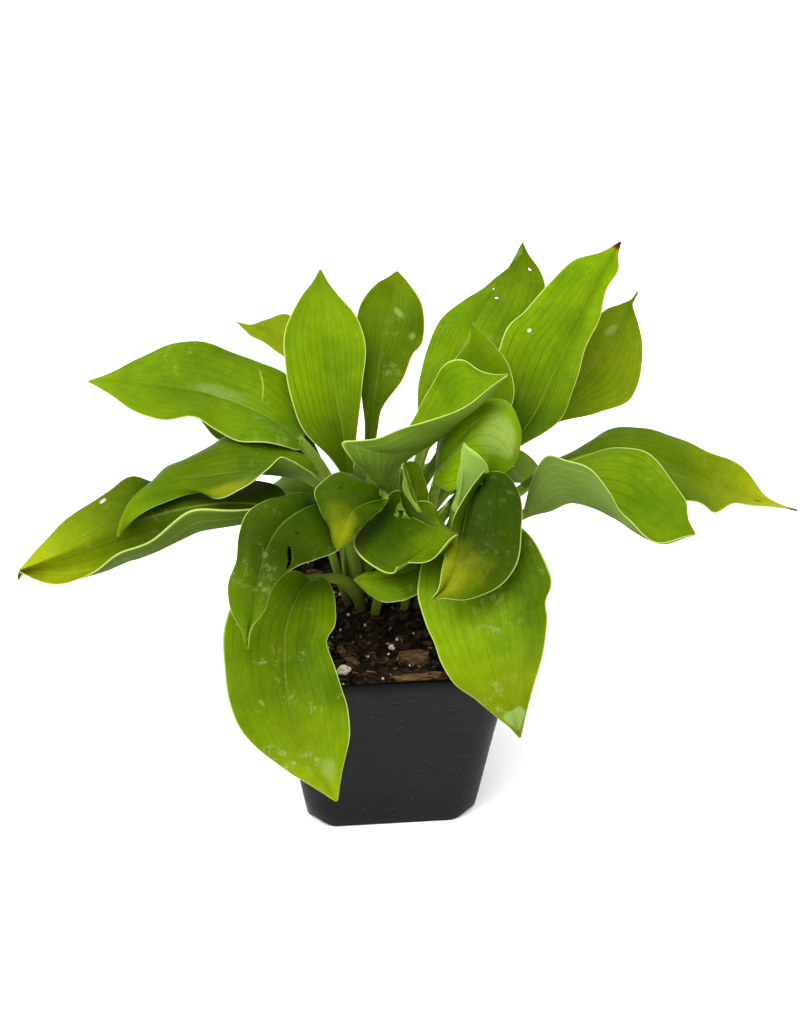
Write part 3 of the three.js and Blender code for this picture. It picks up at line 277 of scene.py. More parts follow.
     (-25, -80, 114), (-25, -93, 102), (-29, -104, 87)],
     right=[(-46, -21, 146), (-62, -31, 148), (-75, -43, 147), (-81, -56, 140), (-82, -70, 130),
     (-80, -84, 117), (-72, -94, 103), (-58, -102, 92), (-43, -108, 84)]),
    "front_left_high": dict(blade=96, stalk=3.4, wave=(1.4, 2.5, 0, 2), arch=((1, 2, 0), (1, 3, 0)),
     path=[(-10.5, 16.2, 87), (-14.3, 6.3, 119), (-20, -5, 157), (-32, -12, 178), (-42, -23, 183),
     (-53, -36, 183), (-60, -50, 179), (-65, -62, 169), (-68, -72, 158), (-71, -79, 145)],
     left=[(-24, -14, 177), (-21, -23, 170), (-25, -35, 167), (-37, -43, 168), (-47, -52, 171),
     (-56, -62, 168), (-60, -68, 162), (-68, -76, 155)],
     right=[(-41, -11, 185), (-54, -19, 189), (-65, -31, 190), (-72, -42, 186), (-75, -54, 178),
     (-78, -64, 169), (-77, -71, 161), (-73, -77, 153)]),
    "right_far": dict(blade=151, wave=(1.6, 3, 0, 2), arch=((1, 2, 0), (0, 1, 0)),
     path=[(15, 20, 87), (23, 15, 117), (43, 11, 142), (68, 17, 161), (89, 27, 169), (112, 34, 170),
     (138, 34, 164), (163, 28, 154), (185, 22, 147), (208, 15, 142)],
     left=[(84, 33, 165), (97, 44, 164), (112, 52, 169), (133, 55, 168), (152, 51, 167), (168, 40, 161),
     (184, 34, 155), (193, 24, 147), (201, 19, 143)],
     right=[(89, 13, 167), (110, 3, 167), (132, 1, 163), (153, 3, 158), (162, 2, 151), (174, 9, 153),
     (192, 12, 147)]),
    "right_near": dict(blade=92, wave=(1.2, 2.5, 0, 2), arch=((0, 1, 0), (-1, -3, 0)),
     path=[(13, 15, 87), (21, 4, 117), (41, -7, 144), (67, -11, 167), (77, -17, 173), (87, -21, 180),
     (97, -26, 180), (107, -32, 177), (117, -38, 173), (131, -45, 173), (142, -52, 179)],
     left=[(76, 0, 175), (87, 9, 180), (106, 15, 184), (124, 10, 186), (133, 0, 185), (138, -11, 182),
     (142, -26, 180), (141, -42, 179)],
     right=[(70, -13, 187), (76, -16, 203), (84, -21, 203), (95, -28, 202), (103, -34, 194), (110, -39, 183),
     (118, -46, 175), (125, -50, 173), (136, -53, 179)]),
    "back_left": dict(blade=66, wave=(1, 2, 0, 2), half=(18, 18), shape=(0.7, 0.9, 0.7, 0.9), curl=(0, 0),
     lobe=(3, 3), left=(15, 10, 5), right=(15, 10, 5),
     path=[(-7, 34, 87), (-15, 40, 113), (-29, 52, 131), (-45, 66, 133), (-59, 78, 123), (-69, 88, 107)]),
    "back_middle": dict(blade=84, wave=(1.4, 2.5, 1, 3), half=(23, 23), shape=(0.7, 0.9, 0.7, 0.9),
     curl=(0, 0), lobe=(4, 4), left=(15, 10, 5), right=(15, 10, 5),
     path=[(-1, 35, 87), (-1, 42, 113), (3, 54, 133), (7, 76, 135), (11, 98, 121), (15, 116, 95)]),
    "back_right": dict(blade=99, wave=(1.2, 2, 2, 0),
     path=[(4, 34, 87), (12, 39, 113), (29, 48, 137), (48, 62, 143), (68, 75, 137), (82, 85, 119),
     (94, 92, 98)],
     left=[(40, 63, 143), (60, 77, 145), (79, 86, 137), (91, 93, 117)],
     right=[(36, 47, 139), (53, 56, 138), (70, 66, 132), (85, 81, 115)]),
    "young_left": dict(blade=36, wave=(0, 1, 0, 0), arch=((0, -1, 0), (0, -1, 0)),
     path=[(2, 19, 87), (6, 10, 124), (13, 0, 156), (14, -1, 171), (14, 0, 182), (12, 2, 191)],
     left=[(10, 2, 165), (8, 3, 175), (8, 4, 185), (9, 3, 189)],
     right=[(19, 0, 162), (21, 1, 170), (19, 2, 180), (16, 3, 189)]),
    "young_right": dict(blade=30, wave=(0, 1, 0, 0), half=(6, 6), shape=(0.8, 0.8, 0.8, 0.8), curl=(40, 40),
     lobe=(0, 0), left=(55, 50, 40), right=(55, 50, 40),
     path=[(6, 7, 87), (11, -2, 119), (19, -12, 147), (25, -14, 161), (29, -13, 176)]),
}

# Holes and tears: place along the blade, place across it (-1 left margin, 1 right margin), half length, half
# width, and slant, which is how far the place across moves over the half length.
HOLES = {
    "right_tall": [(0.873, 0.675, 0.007, 0.045, 0), (0.760, -0.10, 0.006, 0.035, 0),
                   (0.723, 0.12, 0.005, 0.03, 0), (0.930, -1.0, 0.014, 0.40, 0)],
    "front_left_high": [(0.512, -0.63, 0.085, 0.07, -0.27)],
}
HOLE_STEPS = 13  # fine steps over each hole
HOLE_SURROUND = 1.15
HOLE_RAGGED = 0.2

# What differs in colour from leaf to leaf, with the painted light and shade of each. tones are the lightness
# at the foot, in the middle and at the tip of the blade, and under that of its lower face; both are partly
# painted light and shade, brightening lit parts and darkening shaded ones. yellow is how far the blade has
# turned yellow, and this starts at yellow_from. spots is how much dried water shows, dark how much painted
# shade darkens the blade (dark_foot more at its foot, in the shade of the other leaves, up to dark_to), grey
# how dull the lower face is, tip how brown the tip is and vein how strongly the veins show, painted darker as
# shade in their grooves on the upper face. patches are coloured places: along, across, half length, half
# width, colour, strength and slant; dark patches are painted shade and light ones painted light.
PLAIN = dict(tones=(1, 1, 1), under=1, yellow=0.1, yellow_from=0.6, spots=0.25, dark=0.1, dark_foot=0.55,
             dark_to=0.45, grey=0.35, tip=0, vein=0.45, patches=())
LOOKS = {
    # left_upper: the pale crease patch is a painted highlight along the ridge of a fold.
    "left_upper": dict(tones=(1.3, 0.82, 1.15), vein=0.3, spots=0.5, patches=(
        (0.315, 0.52, 0.06, 0.016, "crease", 0.7, 0.30), (0.42, 0.08, 0.12, 0.10, "pale", 0.3, 0))),
    "left_rear": dict(dark=0.5),
    "left_middle": dict(tones=(0.85, 0.55, 1), dark=0.12, grey=0.7, dark_foot=0.4, patches=(
        (0.50, -0.85, 0.09, 0.3, "yellow", 0.6, 0),)),
    "left_lower": dict(tones=(0.5, 0.36, 1.25), under=0.55, grey=0.2, yellow=0.9, yellow_from=0.55, patches=(
        (0.66, 0.80, 0.012, 0.06, "white", 0.8, 0),)),
    "left_back": dict(yellow=0.5, yellow_from=0, spots=0.1, grey=0.9),
    "upright_left": dict(tones=(0.6, 1.03, 1), dark=0.05, dark_foot=0.45, spots=0.1, vein=0.55),
    "upright_middle": dict(tones=(0.55, 0.65, 0.75), spots=0.5, dark=0.2, patches=(
        (0.748, 0.30, 0.03, 0.10, "pale", 0.5, -0.1), (0.622, 0.72, 0.02, 0.08, "pale", 0.5, 0))),
    "right_tall": dict(tones=(1.3, 1.15, 0.68), dark=0.15, spots=0.3),
    "right_big": dict(tones=(0.85, 1.15, 1.45), dark_foot=0.7, dark_to=0.55, spots=0.15, tip=1, vein=0.5,
                      patches=((0.49, -0.69, 0.010, 0.034, "white", 1, 0),)),
    "right_far_back": dict(tones=(1.35, 1.0, 1.0), yellow=0.3, yellow_from=0.1, patches=(
        (0.773, -0.22, 0.035, 0.15, "pale", 0.5, 0.1),)),
    "center_back": dict(dark=0.2),
    "center_folded": dict(tones=(1, 1.3, 1.5), under=0.85, dark=0.2, grey=0.2, vein=0.4),
    # center_arching: its high tones are painted light, lifting the shade it lies in, and its pale patch is a
    # painted highlight on the crest of its arch.
    "center_arching": dict(tones=(1.9, 1.8, 0.9), dark=0.15, spots=0.1, patches=(
        (0.74, 0.15, 0.16, 0.4, "pale", 0.4, 0),)),
    # center_drooping: dark is painted shadow cast by center_arching above it, and the yellow patch is painted
    # light on its lit part.
    "center_drooping": dict(tones=(0.6, 0.44, 0.75), dark=0.78, spots=0.2, patches=(
        (0.93, 0.35, 0.30, 1.1, "yellow", 0.65, 0),)),
    "center_pale": dict(under=1.8, grey=1, dark=0.1),
    "front_small": dict(tones=(0.8, 0.5, 0.75), dark=0.5, spots=0.3, patches=(
        (0.82, -0.10, 0.26, 0.7, "yellow", 0.6, 0), (0.447, 0.575, 0.012, 0.05, "brown", 1, 0))),
    # front_center: the dark patch is painted shade and the light patch painted light.
    "front_center": dict(tones=(0.5, 0.45, 0.8), dark=0.25, spots=0.2, patches=(
        (0.40, 0.55, 0.20, 0.34, "dark", 0.6, 0), (0.70, 0.10, 0.20, 0.5, "light", 0.4, 0))),
    "front_low": dict(dark=0.35, spots=0.5, dark_foot=0.2),
    # front_right: the dark patch is painted shade on the side that curves away from the light.
    "front_right": dict(tones=(1, 1.1, 0.72), yellow=0.4, yellow_from=0.4, dark=0.05, spots=0.6, vein=0.32,
                        patches=((0.38, -0.85, 0.30, 0.45, "dark", 0.7, 0),
                                 (0.915, 0.0, 0.05, 0.9, "residue", 0.75, 0))),
    # front_left_low: the dark patch is painted shade.
    "front_left_low": dict(tones=(1, 0.7, 1.3), vein=0.35, yellow=0.35, yellow_from=0.5, dark=0.1, spots=1,
                           dark_foot=0.7, dark_to=0.3,
                           patches=((0.33, -0.42, 0.14, 0.20, "dark", 0.4, 0),
                                    (0.86, -0.45, 0.05, 0.25, "pale", 0.3, 0))),
    "front_left_high": dict(tones=(0.7, 0.36, 1.1), dark=0.5, spots=0.5, patches=(
        (0.334, -0.30, 0.010, 0.05, "brown", 1, 0),)),
    "right_far": dict(tones=(0.8, 0.65, 1.25), yellow=1, yellow_from=0.5, tip=1, patches=(
        (0.855, 0.47, 0.015, 0.10, "brown", 0.6, 0),)),
    "right_near": dict(under=0.7, dark=0.15, grey=1, spots=0.3, dark_foot=0.2),
}

# ------------------------------------------------------------------ chips and litter on the soil
CHIP_RISE = 0.12  # part of its height by which the middle of a chip is above the soil
CHIPS = {  # place, size, turn and tilt in degrees, bend; the perlite ones are round lumps
    "bark_bent_strip": ((-21, -27), (17, 4, 3), -58, 4, 0.5),
    "bark_chunk": ((11, -32), (15, 9, 6), -12, -5, 0),
    "bark_front_slab": ((13, -46), (29, 6, 4.5), 2, 2, 0.2),
    "bark_left_chip": ((-27, 2), (9, 6, 3), 70, 0, 0),
    "bark_right_chip": ((35, -22), (12, 6, 3.5), 50, 5, 0.2),
    "bark_back_left": ((-32, 38), (13, 7, 4), -30, -4, 0.2),
    "bark_back_right": ((31, 32), (16, 6, 4), 20, 3, 0),
    "perlite_big": ((-24, -38), (7.5, 5.5, 4.5), 20, 0, 0),
    "perlite_middle": ((1, -22), (3.6, 3.2, 3), 0, 0, 0),
    "perlite_right": ((24, -20), (3.4, 3, 2.8), 40, 0, 0),
    "perlite_left": ((-35, -12), (4, 3.4, 3), 10, 0, 0),
    "perlite_back": ((7, 42), (5, 4, 3.4), 70, 0, 0),
}
LITTER = {  # slot, count, rise as part of the height, and the least and greatest length, width and height
    "soil_crumbs": ("soil", 1500, 0.2, ((0.8, 2.6), (0.8, 2.2), (0.7, 1.8))),
    "bark_bits": ("bark", 330, 0.3, ((3, 10), (1.5, 4.5), (0.8, 2.0))),
    "pale_bits": ("bark", 110, 0.4, ((1, 6), (0.5, 1.6), (0.5, 1.3))),
    "perlite_bits": ("perlite", 80, 0.35, ((0.8, 2.4), (0.8, 2.0), (0.7, 1.7))),
}
LITTER_MARGIN = 2.5  # free of litter along the wall
LITTER_OVER = 1.5  # how far a crumb may reach over this margin
LITTER_CORNER = 12.0
SEED = 7

# ------------------------------------------------------------------ studio, in metres and watts
LAMPS = {  # place, size, power
    "softbox_top": ((-0.35, -0.35, 1.5), 1.2, 40),
    "softbox_left": ((-1.3, -0.9, 0.9), 0.9, 15),
    "softbox_right": ((1.3, -0.6, 0.8), 0.9, 12),
}
LAMP_TARGET = (0, 0, 0.15)
SKY_STRENGTH = 1.15
FLOOR_REACH = 8.0
FLOOR_WHITE = (0.97, 0.97, 0.97)


# ================================================================== small helpers
def mix(start, end, part):
    return start + (end - start) * part


def smooth(part):
    held = np.clip(part, 0.0, 1.0)
    return held * held * (3 - 2 * held)


def three_point(values, t):
    foot, middle, tip = values
    return foot * (1 - t) * (1 - 2 * t) + 4 * middle * t * (1 - t) + tip * t * (2 * t - 1)


def unit(vectors):
    return vectors / np.linalg.norm(vectors, axis=-1, keepdims=True)


def make_piece(name, points, faces, slot, material, replaced=None, smooth_shading=True):
    """A piece from points in millimetres; it rides on the one body and may stand for a CAD node."""
    mesh = bpy.data.meshes.new(name)
    mesh.from_pydata((np.asarray(points, dtype=float) * MM).tolist(), [], faces)
    mesh.update()
    mesh.polygons.foreach_set("use_smooth", [smooth_shading] * len(faces))
    mesh.materials.append(material)
    piece = link(name, mesh)
    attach(piece, "root")
    if replaced:
        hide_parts(replaced)
    return piece


def add_attribute(piece, name, values):
    attribute = piece.data.attributes.new(name, "FLOAT", "POINT")
    attribute.data.foreach_set("value", np.asarray(values, dtype=np.float32))


# ================================================================== camera, floor and light
def link(name, data):
    """A new object of the scene with this data."""
    thing = bpy.data.objects.new(name, data)
    bpy.context.scene.collection.objects.link(thing)
    return thing


def make_camera():
    azimuth = CAMERA_AZIMUTH * DEGREE
    height = CAMERA_HEIGHT_ANGLE * DEGREE
    level = math.cos(height)
    back = Vector((math.sin(azimuth) * level, -math.cos(azimuth) * level, math.sin(height)))
    data = bpy.data.cameras.new("camera")
    data.sensor_width = SENSOR
    data.lens = FOCAL_PIXELS / PICTURE_HEIGHT * SENSOR
    data.clip_end = CLIP_END
    camera = link("camera", data)
    camera.location = (Vector(CAMERA_TARGET) + back * CAMERA_DISTANCE) * MM
    camera.rotation_euler = back.to_track_quat("Z", "Y").to_euler()
    bpy.context.scene.camera = camera


def make_lights():
    bpy.context.scene.view_settings.view_transform = "Standard"
    world = bpy.data.worlds.new("studio")
    world.use_nodes = True
    sky = world.node_tree.nodes["Background"]
    sky.inputs["Color"].default_value = (1, 1, 1, 1)
    sky.inputs["Strength"].default_value = SKY_STRENGTH
    bpy.context.scene.world = world
    for name, (place, size, power) in LAMPS.items():
        data = bpy.data.lights.new(name, "AREA")
        data.size = size
        data.energy = power
        lamp = link(name, data)
        lamp.location = place
        lamp.rotation_euler = (Vector(place) - Vector(LAMP_TARGET)).to_track_quat("Z", "Y").to_euler()


def make_floor():
    mesh = bpy.data.meshes.new("floor")
    corners = [(x * FLOOR_REACH, y * FLOOR_REACH, 0) for x, y in ((-1, -1), (1, -1), (1, 1), (-1, 1))]
    mesh.from_pydata(corners, [], [(0, 1, 2, 3)])
    mesh.materials.append(Graph("floor_white").finish(FLOOR_WHITE, 0.9, Specular_IOR_Level=0.1))
    link("floor", mesh)


# ================================================================== node graph helper
class Graph:
    """Short calls for building a material's nodes. A value is a number, a colour or another node's output."""

    def __init__(self, name):
        self.material = bpy.data.materials.new(name)
        self.material.use_nodes = True
        self.tree = self.material.node_tree

    def put(self, socket, value):
        if isinstance(value, bpy.types.NodeSocket):
            self.tree.links.new(value, socket)
        elif isinstance(value, tuple) and socket.type == "RGBA":
            socket.default_value = (*value, 1.0)
        elif value is not None:
            socket.default_value = value

    def node(self, kind, inputs, output=0, **settings):
        """Adds a node and gives the named or numbered output."""
        node = self.tree.nodes.new(kind)
        for key, value in settings.items():
            setattr(node, key, value)
        for key, value in inputs.items():
            self.put(node.inputs[key], value)
        return node.outputs[output]

    def attribute(self, name):
        return self.node("ShaderNodeAttribute", {}, "Fac", attribute_name=name)

    def math(self, operation, first, second=None, clamp=False):
        return self.node("ShaderNodeMath", {0: first, 1: second}, operation=operation, use_clamp=clamp)

    def times(self, first, second, clamp=False):
        return self.math("MULTIPLY", first, second, clamp)

    def plus(self, first, second, clamp=False):
        return self.math("ADD", first, second, clamp)

    def minus(self, first, second):
        return self.math("SUBTRACT", first, second)

    def ramp(self, value, low, high, out_low=0.0, out_high=1.0):
        inputs = {"Value": value, "From Min": low, "From Max": high, "To Min": out_low, "To Max": out_high}
        return self.node("ShaderNodeMapRange", inputs, "Result", interpolation_type="SMOOTHSTEP")

    def blend(self, factor, first, second):
        return self.node("ShaderNodeMix", {"Factor": factor, 6: first, 7: second}, 2, data_type="RGBA")

    def scaled(self, color, factor):
        return self.node("ShaderNodeVectorMath", {0: color, "Scale": factor}, operation="SCALE")

    def position(self):
        return self.node("ShaderNodeTexCoord", {}, "Object")

    def place(self, scale=(1, 1, 1)):
        return self.node("ShaderNodeMapping", {"Vector": self.position(), "Scale": scale}, "Vector")

    def noise(self, scale, detail=3.0, roughness=0.5, vector=None):
        inputs = {"Vector": vector or self.place(), "Scale": scale, "Detail": detail, "Roughness": roughness}
        return self.node("ShaderNodeTexNoise", inputs, "Fac")

    def join(self, x, y, z):
        return self.node("ShaderNodeCombineXYZ", {0: x, 1: y, 2: z})

    def bump(self, height, strength, distance, below=None):
        inputs = {"Height": height, "Strength": strength, "Distance": distance, "Normal": below}
        return self.node("ShaderNodeBump", inputs, "Normal")

    def finish(self, color, roughness, normal=None, **fixed):
        """Fills the shader; the fixed inputs are named as in Blender, with _ for a space."""
        shader = self.tree.nodes["Principled BSDF"]
        fixed.update(Base_Color=color, Roughness=roughness, Normal=normal)
        for name, value in fixed.items():
            self.put(shader.inputs[name.replace("_", " ")], value)
        return self.material


# ================================================================== leaf shape
class LeafCurve:
    """Centripetal Catmull-Rom curve through the leaf's points, read by arc length."""

    def __init__(self, points):
        self.points = np.asarray(points, dtype=float)
        fractions = np.linspace(0, 1, CURVE_DIVISIONS + 1)
        steps = np.linalg.norm(np.diff(self.at_parameter(fractions), axis=0), axis=1)
        self.lengths = np.concatenate([[0.0], np.cumsum(steps)])
        self.fractions = fractions
        self.length = self.lengths[-1]

    def at_parameter(self, fractions):
        points = self.points
        spans = len(points) - 1
        place = np.asarray(fractions) * spans
        start = np.minimum(place.astype(int), spans - 1)
        weight = (place - start)[:, None]
        padded = np.vstack([2 * points[0] - points[1], points, 2 * points[-1] - points[-2]])
        p0, p1, p2, p3 = (padded[start + i] for i in range(4))
        chords = (p1 - p0, p2 - p1, p3 - p2)
        step0, step1, step2 = (np.linalg.norm(chord, axis=1)[:, None] ** 0.5 for chord in chords)
        slope1 = ((p1 - p0) / step0 - (p2 - p0) / (step0 + step1) + (p2 - p1) / step1) * step1
        slope2 = ((p2 - p1) / step1 - (p3 - p1) / (step1 + step2) + (p3 - p2) / step2) * step1
        square = -3 * p1 + 3 * p2 - 2 * slope1 - slope2
        cube = 2 * p1 - 2 * p2 + slope1 + slope2
        return p1 + weight * (slope1 + weight * (square + weight * cube))

    def parameter(self, parts):
        return np.interp(np.asarray(parts) * self.length, self.lengths, self.fractions)

    def point(self, parts):
        return self.at_parameter(self.parameter(parts))

    def tangent(self, parts):
        place = self.parameter(parts)
        ahead = self.at_parameter(np.minimum(1, place + LEAST_STEP))
        behind = self.at_parameter(np.maximum(0, place - LEAST_STEP))
        return unit(ahead - behind)


def leaf_stations():
    """Stations along the blade, a little closer together at both ends."""
    even = np.linspace(0, 1, BLADE_RINGS + 1)
    return even - STATION_SHIFT * np.sin(ROUND * even)


def leaf_directions(leaf, curve, u):
    """Directions along the leaf, to its right and up through it, at the places u."""
    start = curve.point([max(0, 1 - leaf["blade"] / curve.length)])[0]
    reach = curve.point([1.0])[0] - start
    level = unit(np.array([reach[1], -reach[0], 0.0]))
    tangent = curve.tangent(u)
    side = unit(level - tangent * (tangent @ level)[:, None])
    return tangent, side, unit(np.cross(side, tangent))


def half_width(leaf, which, t, u):
    """Half the width of the stalk and, for a plainer leaf, of its blade on one side."""
    stalk = leaf.get("stalk", STALK_HALF) * (1 - t) * mix(STALK_FOOT, 1, smooth(u / FOOT_REACH))
    if "half" not in leaf:
        return stalk
    a, b = leaf["shape"][:2] if which == 0 else leaf["shape"][2:]
    peak = a / (a + b)
    top = peak ** a * (1 - peak) ** b
    outline = t ** a * (1 - t) ** b / top * (1 - TIP_DRAWN_IN * t ** TIP_POWER)
    return np.maximum(TIP_HALF, stalk + (leaf["half"][which] - STALK_HALF / 2) * outline)


def leaf_thickness(t, q):
    stalk = STALK_EDGE + STALK_BODY * (1 - q * q)
    keel = KEEL_THICK * (1 - t) * np.exp(-((q / KEEL_REACH) ** 2))
    blade = mix(BLADE_THICK, MARGIN_THICK, smooth((q - MARGIN_START) / (1 - MARGIN_START))) + keel
    return mix(stalk, blade, smooth(t / STALK_BLEND))


def plain_half(leaf, curve, u, t, which, q):
    """Upper points and directions through one half, from its widths and angles. All stalks are made here."""
    sign = -1.0 if which == 0 else 1.0
    tangent, side, normal = leaf_directions(leaf, curve, u)
    blend = smooth(t / STALK_BLEND)
    raised, curl, lobe = STALK_CHANNEL, 0.0, 0.0
    if "half" in leaf:
        raised = three_point(leaf["left"] if which == 0 else leaf["right"], t)
        curl = leaf["curl"][which]
        lobe = leaf["lobe"][which]
    angle = (mix(STALK_CHANNEL, raised, blend) * DEGREE)[:, None]
    curl = (curl * blend * DEGREE + LEAST_CURL)[:, None]
    row = q[None, :]
    turn = angle + curl * row
    across = (np.sin(turn) - np.sin(angle)) / curl
    rise = (np.cos(angle) - np.cos(turn)) / curl
    half = half_width(leaf, which, t, u)[:, None]
    up = np.cos(turn)[..., None] * normal[:, None, :] - sign * np.sin(turn)[..., None] * side[:, None, :]
    through = np.where((row > 0)[..., None], up, normal[:, None, :])
    point = curve.point(u)[:, None, :] + (sign * half * across)[..., None] * side[:, None, :]
    point = point + (half * rise)[..., None] * normal[:, None, :]
    back = -lobe * ((1 - t) ** LOBE_POWER * blend)[:, None] * row ** 2
    return point + back[..., None] * tangent[:, None, :], through


def leaf_margins(leaf, curve):
    """The left and the right margin, from the edges of the stalk to the tip."""
    foot = np.array([max(0.0, 1 - leaf["blade"] / curve.length)])
    side = leaf_directions(leaf, curve, np.array([1.0]))[1][0]
    tip = curve.point([1.0])[0]
    margins = []
    for which, sign in enumerate((-1, 1)):
        start = plain_half(leaf, curve, foot, np.array([0.0]), which, np.array([1.0]))[0][0, 0]
        points = leaf["left"] if which == 0 else leaf["right"]
        margins.append(LeafCurve([start, *points, tip + sign * TIP_HALF * side]))
    return margins


def spanned_half(leaf, curve, margins, u, t, which, q):
    """Upper points and directions through one half, spanned from the midrib to the margin."""
    middle = curve.point(u)[:, None, :]
    row = q[None, :, None]
    blend = smooth(t / STALK_BLEND)
    arch = 4 * row * (1 - row)
    slope = 4 * (1 - 2 * row)
    sheets = []
    for i, margin in enumerate(margins):
        sign = -1.0 if i == 0 else 1.0
        span = margin.point(t)[:, None, :] - middle
        along = curve.tangent(u)[:, None, :] * leaf["blade"] * (1 - row)
        along = along + margin.tangent(t)[:, None, :] * margin.length * row
        up = unit(np.cross(span, along)) * sign
        bulge = (three_point(leaf.get("arch", NO_ARCH)[i], t) * blend)[:, None, None]
        through = unit(np.cross(span + up * bulge * slope, along)) * sign
        sheets.append((middle + span * row + up * bulge * arch, through))
    both = unit(sheets[0][1] + sheets[1][1])
    point, through = sheets[which]
    return point, np.where(row > 0, through, both)


def leaf_lane(t, q, phase):
    """Counts the side veins outwards from the midrib; a vein lies where it is whole."""
    wander = np.sin(ROUND * VEIN_CYCLES * t + VEIN_TWIST * q + phase)
    return VEINS * q + VEIN_WANDER * wander * smooth(q * MIDRIB_CALM)


def leaf_lift(leaf, which, t, q, lane, phases):
    """How far the upper face is moved off the plain sheet by waves, ripples, side veins and the midrib."""
    height, cycles, *starts = leaf["wave"]
    turns = ROUND * cycles * t + starts[which]
    fade = np.sqrt(np.maximum(0, np.sin(math.pi * t)))
    blend = smooth(t / STALK_BLEND)
    lift = height * q ** 2 * np.sin(turns) * fade
    lift = lift + RIPPLE * q ** 3 * np.sin(turns * MARGIN_RIPPLES + phases[0]) * fade
    lift = lift + RIPPLE * np.sin(turns * BLADE_RIPPLES + q * RIPPLE_TWIST + phases[1]) * fade * q * blend
    groove = np.abs((lane + 0.5) % 1.0 - 0.5) * 2
    uneven = 1 - VEIN_UNEVEN + VEIN_UNEVEN * np.sin(np.round(lane) * VEIN_CHANGE + phases[4])
    fades = blend * smooth((1 - t) * VEIN_FADES[0]) * smooth(q * VEIN_FADES[1])
    lift = lift - VEIN_DEPTH * uneven * (1 - groove) ** GROOVE_POWER * fades
    return lift - TROUGH_DEPTH * np.exp(-((q / TROUGH_REACH) ** 2)) * (1 - t) * blend


def leaf_half(leaf, curve, margins, u, t, which, q, phases):
    """Upper points, the directions through the leaf, its thickness and its vein lanes, for one half."""
    if margins is None:
        point, through = plain_half(leaf, curve, u, t, which, q)
    else:
        stalk = t <= 0
        lower = plain_half(leaf, curve, u[stalk], t[stalk], which, q)
        upper = spanned_half(leaf, curve, margins, u[~stalk], t[~stalk], which, q)
        point, through = (np.concatenate(pair) for pair in zip(lower, upper))
    row, part = q[None, :], t[:, None]
    lane = leaf_lane(part, row, phases[2 + which])
    lift = leaf_lift(leaf, which, part, row, lane, phases)
    return point + lift[..., None] * through, through, leaf_thickness(part, row), lane


def hole_cells(holes, t, q):
    """Cells of the grid that lie in a hole or a tear, for stations t and signed places q."""
    middle_t = ((t[1:] + t[:-1]) / 2)[:, None]
    middle_q = ((q[1:] + q[:-1]) / 2)[None, :]
    gone = np.zeros((len(t) - 1, len(q) - 1), dtype=bool)
    for place_t, place_q, long, wide, slant in holes:
        reach_t = (middle_t - place_t) / long
        reach_q = (middle_q - place_q - slant * reach_t) / wide
        gone |= reach_t ** 2 + (reach_q + HOLE_RAGGED * np.sin(reach_t * 4)) ** 2 < 1
    return gone


def add_stations(even, places):
    """Adds fine steps round each hole to the even stations."""
    extra = []
    for place, reach in places:
        reach = reach * HOLE_SURROUND
        extra.append(np.linspace(place - reach, place + reach, HOLE_STEPS))
    return np.unique(np.clip(np.round(np.concatenate([even, *extra]), 5), 0, 1))


def leaf_sides(holes):
    """Places from the midrib to the left and to the right margin, finer round the holes on that side."""
    even = np.linspace(0, 1, VEINS * STEPS_PER_VEIN + 1)
    sides = []
    for right in (False, True):
        near = [(abs(hole[1]), hole[3] + abs(hole[4])) for hole in holes if (hole[1] > 0) == right]
        sides.append(add_stations(even, near))
    return sides


def sheet_faces(upper, lower, gone):
    """Both faces of the blade, without the cells of the holes, and the walls round these."""
    faces = []
    rows, columns = gone.shape
    for row in range(rows):
        for column in range(columns):
            corners = [(row, column), (row, column + 1), (row + 1, column + 1), (row + 1, column)]
            if not gone[row, column]:
                faces.append([int(upper[c]) for c in corners])
                faces.append([int(lower[c]) for c in reversed(corners)])
                continue
            neighbours = [(row - 1, column), (row, column + 1), (row + 1, column), (row, column - 1)]
            for side, (i, j) in enumerate(neighbours):
                if 0 <= i < rows and 0 <= j < columns and not gone[i, j]:
                    a, b = corners[side], corners[(side + 1) % 4]
                    faces.append([int(upper[a]), int(upper[b]), int(lower[b]), int(lower[a])])
    return faces


def rim_faces(upper, rim, lower, kept, turned):
    """The rounded margin on one side, open where a notch has been cut, with its ends closed."""
    faces = []
    for row in range(len(rim) - 1):
        if kept[row]:
            for near, far in ((upper, rim), (rim, lower)):
                faces.append([int(near[row]), int(far[row]), int(far[row + 1]), int(near[row + 1])])
            if row and not kept[row - 1]:
                faces.append([int(upper[row]), int(lower[row]), int(rim[row])])
            if row + 1 < len(kept) and not kept[row + 1]:
                faces.append([int(upper[row + 1]), int(rim[row + 1]), int(lower[row + 1])])
    return [face[::-1] for face in faces] if turned else faces


def drop_unused(points, faces, values):
    """Takes out the points that no face uses, also from the values that belong to them."""
    used = np.unique(np.concatenate([np.array(face) for face in faces]))
    number = np.zeros(len(points), dtype=int)
    number[used] = np.arange(len(used))
    faces = [[int(number[i]) for i in face] for face in faces]
    return points[used], faces, {name: value[used] for name, value in values.items()}


def end_faces(ring):
    """Closes an end of the leaf with quads between its upper and its lower points."""
    faces = []
    for low in range((len(ring) - 1) // 2):
        high = len(ring) - 1 - low
        corners = (ring[low], ring[low + 1], ring[high - 1], ring[high])
        faces.append([int(corner) for corner in dict.fromkeys(corners)])
    return faces


def leaf_faces(grid, below, rim_left, rim_right, gone):
    faces = sheet_faces(grid, below, gone)
    faces += rim_faces(grid[:, -1], rim_right, below[:, -1], ~gone[:, -1], False)
    faces += rim_faces(grid[:, 0], rim_left, below[:, 0], ~gone[:, 0], True)
    for row, turned_round in ((0, True), (-1, False)):
        ring = np.concatenate([grid[row], [rim_right[row]], below[row, ::-1], [rim_left[row]]])
        faces += end_faces(ring[::-1] if turned_round else ring)
    return faces


